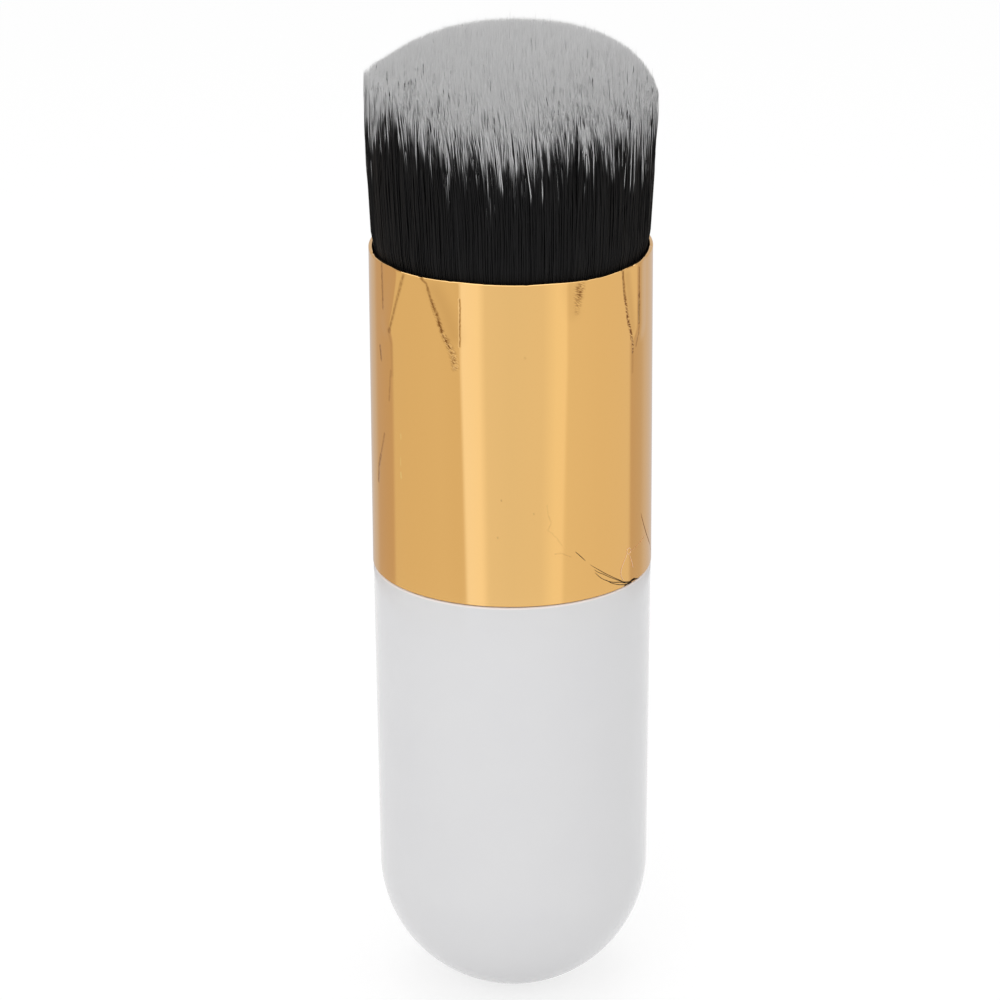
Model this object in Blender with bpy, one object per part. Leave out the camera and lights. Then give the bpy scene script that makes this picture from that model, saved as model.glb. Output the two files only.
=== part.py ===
"""Foundation brush: a white round-ended handle, a gold tube ferrule and a dense domed head of fibres.

Metres, +Z up. The origin is the lowest point of the handle's round end, and +Z runs along the brush
to the tips of its fibres. Nothing moves: the ferrule is glued on the handle's neck, and the fibres'
roots are bound with thread and potted in resin inside the ferrule.
"""

import cmath
import itertools
import math
import random

import bmesh
import bpy

MM = 0.001

# Fits and mesh fineness
SEAT_GAP = 0.3 * MM
MERGE_DISTANCE = 0.001 * MM
ROUND_STEPS = 48
END_ARC_STEPS = 12
BORE_ARC_STEPS = 8
SHARP_ANGLE = math.radians(35)

# Ferrule: a thin drawn tube, whose outside sets the thickness of the whole brush
FERRULE_RADIUS = 13.0 * MM
FERRULE_WALL = 0.35 * MM
FERRULE_LENGTH = 30.85 * MM
FERRULE_EDGE_BEVEL = 0.1 * MM

# Handle: a moulded shell with a closed round end and a neck that enters the ferrule
HANDLE_LENGTH = 42.6 * MM
HANDLE_FLUSH_STEP = 0.05 * MM
HANDLE_DRAFT = 0.3 * MM
HANDLE_SHOULDER_BEVEL = 0.2 * MM
NECK_LENGTH = 15.5 * MM
NECK_WALL = 1.9 * MM
NECK_LEAD_BEVEL = 0.6 * MM

# Glue grooves round the neck, and the rings of cured adhesive that fill them
GLUE_GROOVE_WIDTH = 2.0 * MM
GLUE_GROOVE_DEPTH = 0.9 * MM
LOWER_GROOVE_SHARE = 0.3
UPPER_GROOVE_SHARE = 0.7

# Potted roots: a cast resin plug, then the root slice that the strands stand on, bound with thread
ROOT_RESIN_DEPTH = 4.0 * MM
ROOT_SLICE_DEPTH = 3.4 * MM
BINDING_WIDTH = 1.6 * MM
BINDING_THICKNESS = 0.5 * MM
BINDING_CROWN = 0.15 * MM

# Fibre head: how far its outside leans out by the shoulder, and the dome that it is trimmed to
HEAD_FLARE = 0.95 * MM
HEAD_SHOULDER_HEIGHT = 13.85 * MM
DOME_HEIGHT = 5.6 * MM
DOME_FLATNESS = 3.6
DOME_EDGE_ROUNDNESS = 1.5
TIP_UNEVENNESS = 0.25 * MM

# Strands: set out on a spiral that fills the round head evenly, in place of its many finer fibres
STRAND_COUNT = 330
STRAND_SPIRAL_TURN = math.pi * (3 - math.sqrt(5))
STRAND_SPIRAL_START_SHARE = 0.5
STRAND_SIDES = 4
STRAND_FILL_SHARE = 0.97
STRAND_TIP_TAPER_SHARE = 0.55
STRAND_ROOT_OVERRUN = 0.5 * MM
PALE_TIP_START_SHARE = 0.888
PALE_TIP_SPREAD_SHARE = 0.08
FIBRE_SEED = 7

# Sizes and places that follow from these
FERRULE_BORE = FERRULE_RADIUS - FERRULE_WALL
FIT_RADIUS = FERRULE_BORE - SEAT_GAP
HANDLE_TOP_RADIUS = FERRULE_RADIUS - HANDLE_FLUSH_STEP
HANDLE_END_RADIUS = HANDLE_TOP_RADIUS - HANDLE_DRAFT
HANDLE_BORE = FIT_RADIUS - NECK_WALL
HEAD_SHOULDER_RADIUS = FIT_RADIUS + HEAD_FLARE
NECK_TOP = HANDLE_LENGTH + NECK_LENGTH
FERRULE_BOTTOM = HANDLE_LENGTH + SEAT_GAP
RIM = FERRULE_BOTTOM + FERRULE_LENGTH
RESIN_BOTTOM = NECK_TOP + SEAT_GAP
SLICE_BOTTOM = RESIN_BOTTOM + ROOT_RESIN_DEPTH + SEAT_GAP
SLICE_TOP = SLICE_BOTTOM + ROOT_SLICE_DEPTH
HEAD_SHOULDER = RIM + HEAD_SHOULDER_HEIGHT


def clear_scene():
    """Remove every object that is already in the scene."""
    for old in list(bpy.data.objects):
        bpy.data.objects.remove(old, do_unlink=True)


def finish(name, colour, roughness, metallic=0.0):
    """A Principled material of one linear colour."""
    material = bpy.data.materials.new(name)
    material.use_nodes = True
    shader = material.node_tree.nodes["Principled BSDF"]
    shader.inputs["Base Color"].default_value = (*colour, 1.0)
    shader.inputs["Roughness"].default_value = roughness
    shader.inputs["Metallic"].default_value = metallic
    return material


def add_object(name, bm, finishes):
    """Turn a bmesh into a named object with smooth round faces and sharp edges."""
    bmesh.ops.recalc_face_normals(bm, faces=bm.faces)
    mesh = bpy.data.meshes.new(name)
    bm.to_mesh(mesh)
    bm.free()
    mesh.shade_smooth()
    mesh.set_sharp_from_angle(angle=SHARP_ANGLE)
    for each in finishes:
        mesh.materials.append(each)
    obj = bpy.data.objects.new(name, mesh)
    bpy.context.scene.collection.objects.link(obj)
    return obj


def arc(radius, centre_height, start, end, steps):
    """Points (radius, height) of an arc about a centre on the axis, by angle up from the horizontal."""
    angles = [start + (end - start) * step / steps for step in range(steps + 1)]
    return [(radius * math.cos(a), centre_height + radius * math.sin(a)) for a in angles]


def turned(name, outline, finishes, to_axis=False):
    """A solid of revolution about +Z; an outline that ends on the axis at both ends isn't closed there."""
    bm = bmesh.new()
    verts = [bm.verts.new((radius, 0, height)) for radius, height in outline]
    pairs = list(zip(verts, verts[1:]))
    if not to_axis:
        pairs.append((verts[-1], verts[0]))
    edges = [bm.edges.new(pair) for pair in pairs]
    bmesh.ops.spin(
        bm, geom=verts + edges, cent=(0, 0, 0), axis=(0, 0, 1), angle=math.tau, steps=ROUND_STEPS, use_merge=True
    )
    bmesh.ops.remove_doubles(bm, verts=bm.verts, dist=MERGE_DISTANCE)
    return add_object(name, bm, finishes)


def groove_middle(share):
    """Height of a glue groove's middle, by its share of the neck's length."""
    return HANDLE_LENGTH + NECK_LENGTH * share


def neck_outline():
    """The neck's outer side from the shoulder up, with a square groove for each ring of adhesive."""
    points = [(FIT_RADIUS, HANDLE_LENGTH)]
    floor = FIT_RADIUS - GLUE_GROOVE_DEPTH
    for share in (LOWER_GROOVE_SHARE, UPPER_GROOVE_SHARE):
        low = groove_middle(share) - GLUE_GROOVE_WIDTH / 2
        high = groove_middle(share) + GLUE_GROOVE_WIDTH / 2
        points += [(FIT_RADIUS, low), (floor, low), (floor, high), (FIT_RADIUS, high)]
    points += [(FIT_RADIUS, NECK_TOP - NECK_LEAD_BEVEL), (FIT_RADIUS - NECK_LEAD_BEVEL, NECK_TOP)]
    return points


def make_handle_shell(white):
    """The hollow handle: round end, slightly drafted wall, shoulder, grooved neck and the bore inside."""
    outside = arc(HANDLE_END_RADIUS, HANDLE_END_RADIUS, -math.pi / 2, 0, END_ARC_STEPS)
    shoulder = [
        (HANDLE_TOP_RADIUS, HANDLE_LENGTH - HANDLE_SHOULDER_BEVEL),
        (HANDLE_TOP_RADIUS - HANDLE_SHOULDER_BEVEL, HANDLE_LENGTH),
    ]
    mouth = [(HANDLE_BORE, NECK_TOP)]
    bore = arc(HANDLE_BORE, HANDLE_END_RADIUS, 0, -math.pi / 2, BORE_ARC_STEPS)
    return turned("handle_shell", outside + shoulder + neck_outline() + mouth + bore, [white], to_axis=True)


def make_glue_ring(name, share, adhesive):
    """One ring of cured adhesive, in its groove and flush with the neck."""
    low = groove_middle(share) - GLUE_GROOVE_WIDTH / 2 + SEAT_GAP
    high = groove_middle(share) + GLUE_GROOVE_WIDTH / 2 - SEAT_GAP
    inside = FIT_RADIUS - GLUE_GROOVE_DEPTH + SEAT_GAP
    return turned(name, [(inside, low), (FIT_RADIUS, low), (FIT_RADIUS, high), (inside, high)], [adhesive])


def make_ferrule(gold):
    """The thin tube with its broken edges, standing just clear of the handle's shoulder."""
    edge = FERRULE_EDGE_BEVEL
    outline = [
        (FERRULE_BORE, FERRULE_BOTTOM + edge),
        (FERRULE_BORE + edge, FERRULE_BOTTOM),
        (FERRULE_RADIUS - edge, FERRULE_BOTTOM),
        (FERRULE_RADIUS, FERRULE_BOTTOM + edge),
        (FERRULE_RADIUS, RIM - edge),
        (FERRULE_RADIUS - edge, RIM),
        (FERRULE_BORE + edge, RIM),
        (FERRULE_BORE, RIM - edge),
    ]
    return turned("ferrule", outline, [gold])


def make_root_resin(resin):
    """The cast plug that closes the ferrule between the neck and the fibres' roots."""
    top = RESIN_BOTTOM + ROOT_RESIN_DEPTH
    outline = [(0, RESIN_BOTTOM), (FIT_RADIUS, RESIN_BOTTOM), (FIT_RADIUS, top), (0, top)]
    return turned("root_resin", outline, [resin], to_axis=True)


def binding_span():
    """Lowest and highest point of the thread binding, at the middle of the root slice."""
    middle = (SLICE_BOTTOM + SLICE_TOP) / 2
    return middle - BINDING_WIDTH / 2, middle + BINDING_WIDTH / 2


def make_root_binding(thread):
    """The band of thread that ties the roots together, crowned outwards, in the slice's waist."""
    low, high = binding_span()
    outside = FIT_RADIUS - BINDING_CROWN
    inside = outside - BINDING_THICKNESS
    crown = (FIT_RADIUS, (low + high) / 2)
    return turned("root_binding", [(inside, low), (outside, low), crown, (outside, high), (inside, high)], [thread])


def slice_outline():
    """Outline of the root slice, with the waist that the thread pulls in."""
    low, high = binding_span()
    waist = FIT_RADIUS - BINDING_CROWN - BINDING_THICKNESS - SEAT_GAP
    return [
        (0, SLICE_BOTTOM),
        (FIT_RADIUS, SLICE_BOTTOM),
        (FIT_RADIUS, low - SEAT_GAP),
        (waist, low - SEAT_GAP),
        (waist, high + SEAT_GAP),
        (FIT_RADIUS, high + SEAT_GAP),
        (FIT_RADIUS, SLICE_TOP),
        (0, SLICE_TOP),
    ]


def lean(height):
    """How far the strands have spread at a height, as a share of where they stand at the rim."""
    spread_per_height = (HEAD_SHOULDER_RADIUS / FIT_RADIUS - 1) / HEAD_SHOULDER_HEIGHT
    return 1 + spread_per_height * (height - RIM)


def dome(radius):
    """Height of the trimmed dome at a distance from the axis."""
    across = min(radius / HEAD_SHOULDER_RADIUS, 1)
    return HEAD_SHOULDER + DOME_HEIGHT * (1 - across**DOME_FLATNESS) ** (1 / DOME_EDGE_ROUNDNESS)


def unit_spiral():
    """Places that fill a circle of radius one evenly, each a complex number."""
    turns = [STRAND_SPIRAL_TURN * place for place in range(STRAND_COUNT)]
    reaches = [math.sqrt((place + STRAND_SPIRAL_START_SHARE) / STRAND_COUNT) for place in range(STRAND_COUNT)]
    return [cmath.rect(reach, turn) for reach, turn in zip(reaches, turns)]


def least_spacing(places):
    """Least distance between any two places."""
    return min(abs(one - other) for one, other in itertools.combinations(places, 2))


def strand_radius():
    """Radius at which the strands nearly touch at the slice, while the outermost fit the ferrule at the rim."""
    half_spacing = STRAND_FILL_SHARE * least_spacing(unit_spiral()) / 2 * lean(SLICE_TOP)
    return FIT_RADIUS * half_spacing / (1 + half_spacing)


def strand_section(bm, place, height, radius):
    """One cross-section of a strand: its corners at a height, with one corner pointing outwards."""
    middle = place * lean(height)
    corners = []
    for corner in range(STRAND_SIDES):
        point = middle + cmath.rect(radius, cmath.phase(place) + math.tau * corner / STRAND_SIDES)
        corners.append(bm.verts.new((point.real, point.imag, height)))
    return corners


def add_strand(bm, place, heights, radius):
    """One closed strand through its three sections: dark to the second, pale and tapered above it."""
    radii = (radius, radius, radius * STRAND_TIP_TAPER_SHARE)
    sections = [strand_section(bm, place, height, each) for height, each in zip(heights, radii)]
    bm.faces.new(sections[0][::-1])
    bm.faces.new(sections[-1]).material_index = 1
    for level, (lower, upper) in enumerate(zip(sections, sections[1:])):
        for side in range(STRAND_SIDES):
            after = (side + 1) % STRAND_SIDES
            face = bm.faces.new((lower[side], lower[after], upper[after], upper[side]))
            face.material_index = level


def make_strands(finishes):
    """All the strands as closed prisms whose roots reach into the slice."""
    rng = random.Random(FIBRE_SEED)
    radius = strand_radius()
    places = [(FIT_RADIUS - radius) * unit for unit in unit_spiral()]
    gap = least_spacing(places) * lean(SLICE_TOP) - 2 * radius
    print(f"least gap between strands {gap / MM:.3f} mm")
    bm = bmesh.new()
    for place in places:
        tip = dome(abs(place) * lean(HEAD_SHOULDER)) + rng.uniform(-TIP_UNEVENNESS, TIP_UNEVENNESS)
        pale_share = PALE_TIP_START_SHARE + rng.uniform(-PALE_TIP_SPREAD_SHARE, PALE_TIP_SPREAD_SHARE)
        pale_from = RIM + HEAD_SHOULDER_HEIGHT * pale_share
        add_strand(bm, place, (SLICE_TOP - STRAND_ROOT_OVERRUN, pale_from, tip), radius)
    return add_object("strands", bm, finishes)


def make_bristle_head(finishes):
    """The head: every strand fused to the slice of potted roots that it grows from."""
    head = turned("bristle_head", slice_outline(), finishes, to_axis=True)
    strands = make_strands(finishes)
    strands.hide_render = True
    strands.display_type = "WIRE"
    fuse = head.modifiers.new("fuse_strands", "BOOLEAN")
    fuse.operation = "UNION"
    fuse.solver = "EXACT"
    fuse.object = strands
    return head


def main():
    """Build the brush from its round end to its fibres."""
    clear_scene()
    white = finish("gloss_white_plastic", (0.78, 0.78, 0.79), roughness=0.12)
    gold = finish("gold_anodised_aluminium", (0.80, 0.50, 0.18), roughness=0.12, metallic=1.0)
    adhesive = finish("cured_adhesive", (0.72, 0.66, 0.48), roughness=0.3)
    resin = finish("potting_resin", (0.55, 0.45, 0.27), roughness=0.25)
    thread = finish("binding_thread", (0.70, 0.68, 0.64), roughness=0.8)
    dark_fibre = finish("dark_fibre", (0.012, 0.012, 0.013), roughness=0.5)
    pale_fibre = finish("pale_fibre", (0.45, 0.45, 0.46), roughness=0.5)
    make_handle_shell(white)
    make_glue_ring("glue_ring_lower", LOWER_GROOVE_SHARE, adhesive)
    make_glue_ring("glue_ring_upper", UPPER_GROOVE_SHARE, adhesive)
    make_ferrule(gold)
    make_root_resin(resin)
    make_root_binding(thread)
    make_bristle_head([dark_fibre, pale_fibre])


main()
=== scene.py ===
"""Looks of the foundation brush: gloss white handle, gold tube ferrule and a dense domed head of fibres.

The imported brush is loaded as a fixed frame. Its handle, ferrule, thread binding and fibres are then
replaced by fine meshes of the same sizes, and every surface gets the finish of the real one. Sizes are
in millimetres until a mesh is made. Azimuth is measured round the brush's axis from the photographed
front, -Y, and grows towards +X, which is the right of the photograph.
"""

import logging
import math
from collections.abc import Sequence
from dataclasses import dataclass
from enum import Enum, IntEnum

import bmesh
import bpy
import numpy as np
from mathutils import Matrix, Vector

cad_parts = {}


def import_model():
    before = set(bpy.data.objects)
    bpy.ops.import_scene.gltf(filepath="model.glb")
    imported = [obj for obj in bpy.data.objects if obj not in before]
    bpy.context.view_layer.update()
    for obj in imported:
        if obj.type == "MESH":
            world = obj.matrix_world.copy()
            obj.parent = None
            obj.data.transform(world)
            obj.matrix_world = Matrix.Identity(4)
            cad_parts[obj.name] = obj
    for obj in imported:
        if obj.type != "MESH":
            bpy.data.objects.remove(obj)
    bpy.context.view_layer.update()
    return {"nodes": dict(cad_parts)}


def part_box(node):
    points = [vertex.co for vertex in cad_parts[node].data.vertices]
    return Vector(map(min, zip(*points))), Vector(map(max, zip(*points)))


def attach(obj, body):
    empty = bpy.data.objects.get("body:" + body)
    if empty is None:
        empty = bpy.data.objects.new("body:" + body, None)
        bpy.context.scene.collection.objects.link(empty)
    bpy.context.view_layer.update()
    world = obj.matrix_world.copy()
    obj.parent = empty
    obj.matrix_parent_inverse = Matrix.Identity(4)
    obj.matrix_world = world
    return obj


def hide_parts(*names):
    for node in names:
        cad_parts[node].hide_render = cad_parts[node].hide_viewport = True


MM = 0.001
BODY = "root"
GLUE_RINGS = ("glue_ring_lower", "glue_ring_upper")
BAKE_LAYER = "OFBake"
LOG = logging.getLogger("foundation_brush")

# Points nearer than the first are welded. Nothing is divided by a length under the second.
WELD_DISTANCE = 0.0005
LEAST_LENGTH = 1e-9

# Node settings that several finishes share, the middle of a noise's colour, and plain white
COLOUR_MIX = {"data_type": "RGBA"}
SMOOTH = {"interpolation_type": "SMOOTHSTEP"}
NOISE_MIDDLE = (0.5, 0.5, 0.5)
WHITE = (1.0, 1.0, 1.0, 1.0)

Outline = list[tuple[float, float]]
Curve = tuple[tuple[float, float], ...]
Socket = bpy.types.NodeSocket
Tree = bpy.types.NodeTree


class Slot(Enum):
    """The record's material slots of the pieces made here."""

    HANDLE = "handle_plastic"
    FERRULE = "ferrule_metal"
    THREAD = "binding_thread"
    FIBRE = "fibre"


class FibreZone(Enum):
    """Rings of equal area from the middle of the bundle to its outside, each a piece of its own."""

    CORE = "fibres_core"
    SECOND = "fibres_second"
    THIRD = "fibres_third"
    FOURTH = "fibres_fourth"
    FIFTH = "fibres_fifth"
    SIXTH = "fibres_sixth"
    SEVENTH = "fibres_seventh"
    SKIN = "fibres_skin"


class Mix(IntEnum):
    """A colour mix's sockets by number, since its names are those of the other mixes too."""

    SHARE = 0
    UNDER = 6
    OVER = 7
    RESULT = 2


def linear(hex_colour: str) -> tuple[float, float, float, float]:
    """Turn an sRGB hex colour to linear light by the standard's curve.

    Args:
        hex_colour: Six hex digits after a hash sign.

    Returns:
        Linear red, green, blue and an alpha of one.
    """
    shares = [int(hex_colour[place : place + 2], 16) / 255 for place in (1, 3, 5)]
    return *(s / 12.92 if s <= 0.04045 else ((s + 0.055) / 1.055) ** 2.4 for s in shares), 1.0


def feed(tree: Tree, node: bpy.types.Node, inputs: dict) -> None:
    """Link or set inputs of a node.

    Args:
        tree: The node's tree.
        node: The node.
        inputs: What each input takes, by its name or number: another node's output, or a value.
    """
    for key, value in inputs.items():
        if isinstance(value, Socket):
            tree.links.new(value, node.inputs[key])
        else:
            node.inputs[key].default_value = value


def add_node(
    tree: Tree,
    kind: str,
    settings: dict | None = None,
    inputs: dict | None = None,
    stops: Sequence[tuple[float, str]] = (),
) -> bpy.types.Node:
    """Add a shader node with its settings, and link or set its inputs.

    Args:
        tree: The node tree that gets the node.
        kind: The node's type name without its ShaderNode prefix.
        settings: Values of the node's own properties.
        inputs: What its inputs take, as for feed().
        stops: Place and sRGB hex colour of every stop, from zero to one, where the node is a colour ramp.

    Returns:
        The new node.
    """
    node = tree.nodes.new(f"ShaderNode{kind}")
    for name, value in (settings or {}).items():
        setattr(node, name, value)
    feed(tree, node, inputs or {})
    for place, _ in stops[1:-1]:
        node.color_ramp.elements.new(place)
    for number, (_, colour) in enumerate(stops):
        node.color_ramp.elements[number].color = linear(colour)
    return node


def arc(radius: float, centre: tuple[float, float], start: float, end: float, steps: int) -> Outline:
    """Points (radius, height) of an arc in the plane of a turned outline.

    Args:
        radius: The arc's radius.
        centre: The arc's centre, as distance from the axis and height.
        start: First angle in degrees, up from the outward direction.
        end: Last angle in degrees.
        steps: Number of straight steps.

    Returns:
        The arc's points in order.
    """
    angles = np.radians(np.linspace(start, end, steps + 1))
    return [(centre[0] + radius * math.cos(a), centre[1] + radius * math.sin(a)) for a in angles]


def new_piece(name: str, mesh: bpy.types.Mesh, material: bpy.types.Material) -> bpy.types.Object:
    """Link a smooth-shaded object of one material into the scene.

    Args:
        name: The piece's name.
        mesh: Its mesh, in metres.
        material: The material of all its faces.

    Returns:
        The new object.
    """
    mesh.materials.append(material)
    mesh.shade_smooth()
    piece = bpy.data.objects.new(name, mesh)
    bpy.context.scene.collection.objects.link(piece)
    return piece


def hold(piece: bpy.types.Object, slot: Slot, *nodes: str) -> bpy.types.Object:
    """Let a piece ride on the brush's body, in place of its CAD nodes, which are hidden.

    Args:
        piece: The finished piece.
        slot: The record's slot of the piece. Not used.
        nodes: The CAD nodes that it stands for, where there are any.

    Returns:
        The same piece.
    """
    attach(piece, BODY)
    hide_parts(*nodes)
    return piece


def mesh_from(bm: bmesh.types.BMesh, name: str) -> bpy.types.Mesh:
    """Turn a working mesh into a named one, and free it.

    Args:
        bm: The working mesh, in metres.
        name: The new mesh's name.

    Returns:
        The new mesh.
    """
    mesh = bpy.data.meshes.new(name)
    bm.to_mesh(mesh)
    bm.free()
    return mesh


def turned_mesh(
    name: str, outline: Outline, steps: int, closed: bool, sharp_deg: float = 40.0
) -> bpy.types.Mesh:
    """Spin an outline round the brush's axis.

    Args:
        name: The mesh's name.
        outline: Points (radius, height) in millimetres.
        steps: Number of steps in the full turn.
        closed: Whether the outline's end meets its start; otherwise both ends lie on the axis.
        sharp_deg: Edges that turn more than this are shaded sharp.

    Returns:
        The closed mesh, in metres.
    """
    bm = bmesh.new()
    verts = [bm.verts.new((radius * MM, 0, height * MM)) for radius, height in outline]
    pairs = list(zip(verts, verts[1:]))
    if closed:
        pairs.append((verts[-1], verts[0]))
    edges = [bm.edges.new(pair) for pair in pairs]
    bmesh.ops.spin(
        bm, geom=verts + edges, cent=(0, 0, 0), axis=(0, 0, 1), angle=math.tau, steps=steps, use_merge=True
    )
    bmesh.ops.remove_doubles(bm, verts=bm.verts, dist=WELD_DISTANCE * MM)
    bmesh.ops.recalc_face_normals(bm, faces=bm.faces)
    mesh = mesh_from(bm, name)
    mesh.shade_smooth()
    mesh.set_sharp_from_angle(angle=math.radians(sharp_deg))
    return mesh


def places_of(mesh: bpy.types.Mesh) -> np.ndarray:
    """Read where a mesh's vertices are.

    Args:
        mesh: The mesh, in metres.

    Returns:
        The places in millimetres, one a row.
    """
    places = np.empty(len(mesh.vertices) * 3)
    mesh.vertices.foreach_get("co", places)
    return places.reshape(-1, 3) / MM


def move_to(mesh: bpy.types.Mesh, places: np.ndarray) -> None:
    """Move a mesh's vertices to places in millimetres."""
    mesh.vertices.foreach_set("co", (places * MM).ravel())
    mesh.update()


def azimuths(places: np.ndarray) -> np.ndarray:
    """Azimuth in radians of places in rows."""
    return np.arctan2(places[:, 0], -places[:, 1])


def smooth_path(points: np.ndarray, steps: int) -> np.ndarray:
    """Thread a smooth curve through points.

    Args:
        points: The points that the curve passes, one a row.
        steps: Steps between two of them.

    Returns:
        The curve's points, one a row.
    """
    padded = np.vstack([2 * points[0] - points[1], points, 2 * points[-1] - points[-2]])
    share = np.linspace(0, 1, steps, endpoint=False)[:, None]
    spans = []
    for before, start, end, after in zip(padded, padded[1:], padded[2:], padded[3:]):
        slope_in = (end - before) / 2
        slope_out = (after - start) / 2
        spans.append(
            start
            + slope_in * share
            + (3 * (end - start) - 2 * slope_in - slope_out) * share**2
            + (2 * (start - end) + slope_in + slope_out) * share**3
        )
    return np.vstack([*spans, points[-1:]])


def tube_mesh(
    name: str, paths: Sequence[np.ndarray], radii: Sequence[np.ndarray], sides: int
) -> bpy.types.Mesh:
    """Sweep closed round tubes along paths.

    Args:
        name: The mesh's name.
        paths: For each tube, its points in millimetres, one a row.
        radii: For each tube, its radius at each point.
        sides: Number of sides of every tube.

    Returns:
        One mesh of all the tubes, in metres.
    """
    bm = bmesh.new()
    for path, radius in zip(paths, radii):
        along = np.gradient(path, axis=0)
        along /= np.linalg.norm(along, axis=1)[:, None]
        side = np.cross(along, (0.0, 0.0, 1.0))
        side /= np.maximum(np.linalg.norm(side, axis=1), LEAST_LENGTH)[:, None]
        up = np.cross(side, along)
        rings = []
        for place, width, across, above in zip(path, radius, side, up):
            turns = [math.tau * corner / sides for corner in range(sides)]
            spots = [place + width * (across * math.cos(turn) + above * math.sin(turn)) for turn in turns]
            rings.append([bm.verts.new(spot * MM) for spot in spots])
        for lower, upper in zip(rings, rings[1:]):
            for corner in range(sides):
                after = (corner + 1) % sides
                bm.faces.new((lower[corner], lower[after], upper[after], upper[corner]))
        bm.faces.new(rings[0][::-1])
        bm.faces.new(rings[-1])
    bmesh.ops.recalc_face_normals(bm, faces=bm.faces)
    return mesh_from(bm, name)


def on_cylinder(places: Curve, radius: float) -> np.ndarray:
    """Turn places on a cylinder to points.

    Args:
        places: Azimuth in degrees and height in millimetres of each place.
        radius: The cylinder's radius.

    Returns:
        The points in millimetres, one a row.
    """
    azimuth, height = np.array(places, float).T
    turn = np.radians(azimuth)
    return np.stack([radius * np.sin(turn), -radius * np.cos(turn), height], axis=1)


@dataclass(frozen=True)
class Finish:
    """A finish, which paints one Principled material."""

    name: str

    def material(self) -> bpy.types.Material:
        """Make the material with this finish's nodes.

        Returns:
            The new material.
        """
        material = bpy.data.materials.new(self.name)
        material.use_nodes = True
        tree = material.node_tree
        self.paint(tree, tree.nodes["Principled BSDF"])
        return material

    def paint(self, tree: Tree, shader: bpy.types.Node) -> None:
        """Set the shader and add the nodes that drive it."""
        raise NotImplementedError


@dataclass(frozen=True)
class MouldedAbs(Finish):
    """Glossy white ABS, injection moulded in a polished tool: a clean, deep shine over an even, cloudy white.

    A pale line under the ferrule, along the top of its shoulder, is a painted highlight in the base colour.
    """

    name: str = "moulded_white_abs"
    body_hex: str = "#DCDCDD"
    cloud_hex: str = "#D8D8DA"
    painted_highlight_hex: str = "#EDE5E2"
    painted_highlight_top_mm: float = 0.0
    painted_highlight_mm: float = 0.15
    painted_highlight_fade_mm: float = 0.09
    cloud_mm: float = 7.0
    gloss_roughness: float = 0.10
    rubbed_roughness: float = 0.17
    rub_mm: float = 2.5
    rub_shares: tuple[float, float] = (0.45, 0.75)
    ripple_mm: float = 9.0
    ripple_height_mm: float = 0.004
    ior: float = 1.53

    def paint(self, tree: Tree, shader: bpy.types.Node) -> None:
        """Cloud the white a little, paint a pale highlight along the shoulder's top edge, rub the gloss in
        places and let the skin ripple as mouldings do.

        Args:
            tree: The material's nodes.
            shader: Its Principled shader.
        """
        place = add_node(tree, "TexCoord").outputs["Object"]
        clouds = add_node(tree, "TexNoise", inputs={"Vector": place, "Scale": 1 / (self.cloud_mm * MM)})
        cloud = add_node(
            tree,
            "Mix",
            COLOUR_MIX,
            {
                Mix.SHARE: clouds.outputs["Fac"],
                Mix.UNDER: linear(self.body_hex),
                Mix.OVER: linear(self.cloud_hex),
            },
        )
        height = add_node(tree, "SeparateXYZ", inputs={0: place})
        # Painted highlight: a pale band of base colour along the top of the shoulder, in place of light on
        # its rounding.
        edge = add_node(
            tree,
            "MapRange",
            SMOOTH,
            {
                "Value": height.outputs["Z"],
                "From Min": (self.painted_highlight_top_mm - self.painted_highlight_mm - self.painted_highlight_fade_mm) * MM,
                "From Max": (self.painted_highlight_top_mm - self.painted_highlight_mm) * MM,
            },
        )
        colour = add_node(
            tree,
            "Mix",
            COLOUR_MIX,
            {
                Mix.SHARE: edge.outputs["Result"],
                Mix.UNDER: cloud.outputs[Mix.RESULT],
                Mix.OVER: linear(self.painted_highlight_hex),
            },
        )
        rubs = add_node(
            tree, "TexNoise", inputs={"Vector": place, "Scale": 1 / (self.rub_mm * MM), "Detail": 4.0}
        )
        rub = add_node(
            tree,
            "MapRange",
            SMOOTH,
            {
                "Value": rubs.outputs["Fac"],
                "From Min": self.rub_shares[0],
                "From Max": self.rub_shares[1],
                "To Min": self.gloss_roughness,
                "To Max": self.rubbed_roughness,
            },
        )
        waves = add_node(
            tree, "TexNoise", inputs={"Vector": place, "Scale": 1 / (self.ripple_mm * MM), "Detail": 0.0}
        )
        ripple = add_node(
            tree, "Bump", inputs={"Height": waves.outputs["Fac"], "Distance": self.ripple_height_mm * MM}
        )
        driven = {
            "Base Color": colour.outputs[Mix.RESULT],
            "Roughness": rub.outputs["Result"],
            "Normal": ripple.outputs["Normal"],
        }
        feed(tree, shader, {**driven, "IOR": self.ior})


@dataclass(frozen=True)
class Mark:
    """A mark on the ferrule: a line through places given by azimuth in degrees and height in millimetres."""

    places: Curve
    half_width_mm: float
    depth: float

    def stretches(self, radius: float) -> list[tuple[tuple[float, float], ...]]:
        """Start and end of its straight stretches on the unrolled tube, in millimetres."""
        spots = [(math.radians(azimuth) * radius, height) for azimuth, height in self.places]
        return list(zip(spots, spots[1:]))


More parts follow.
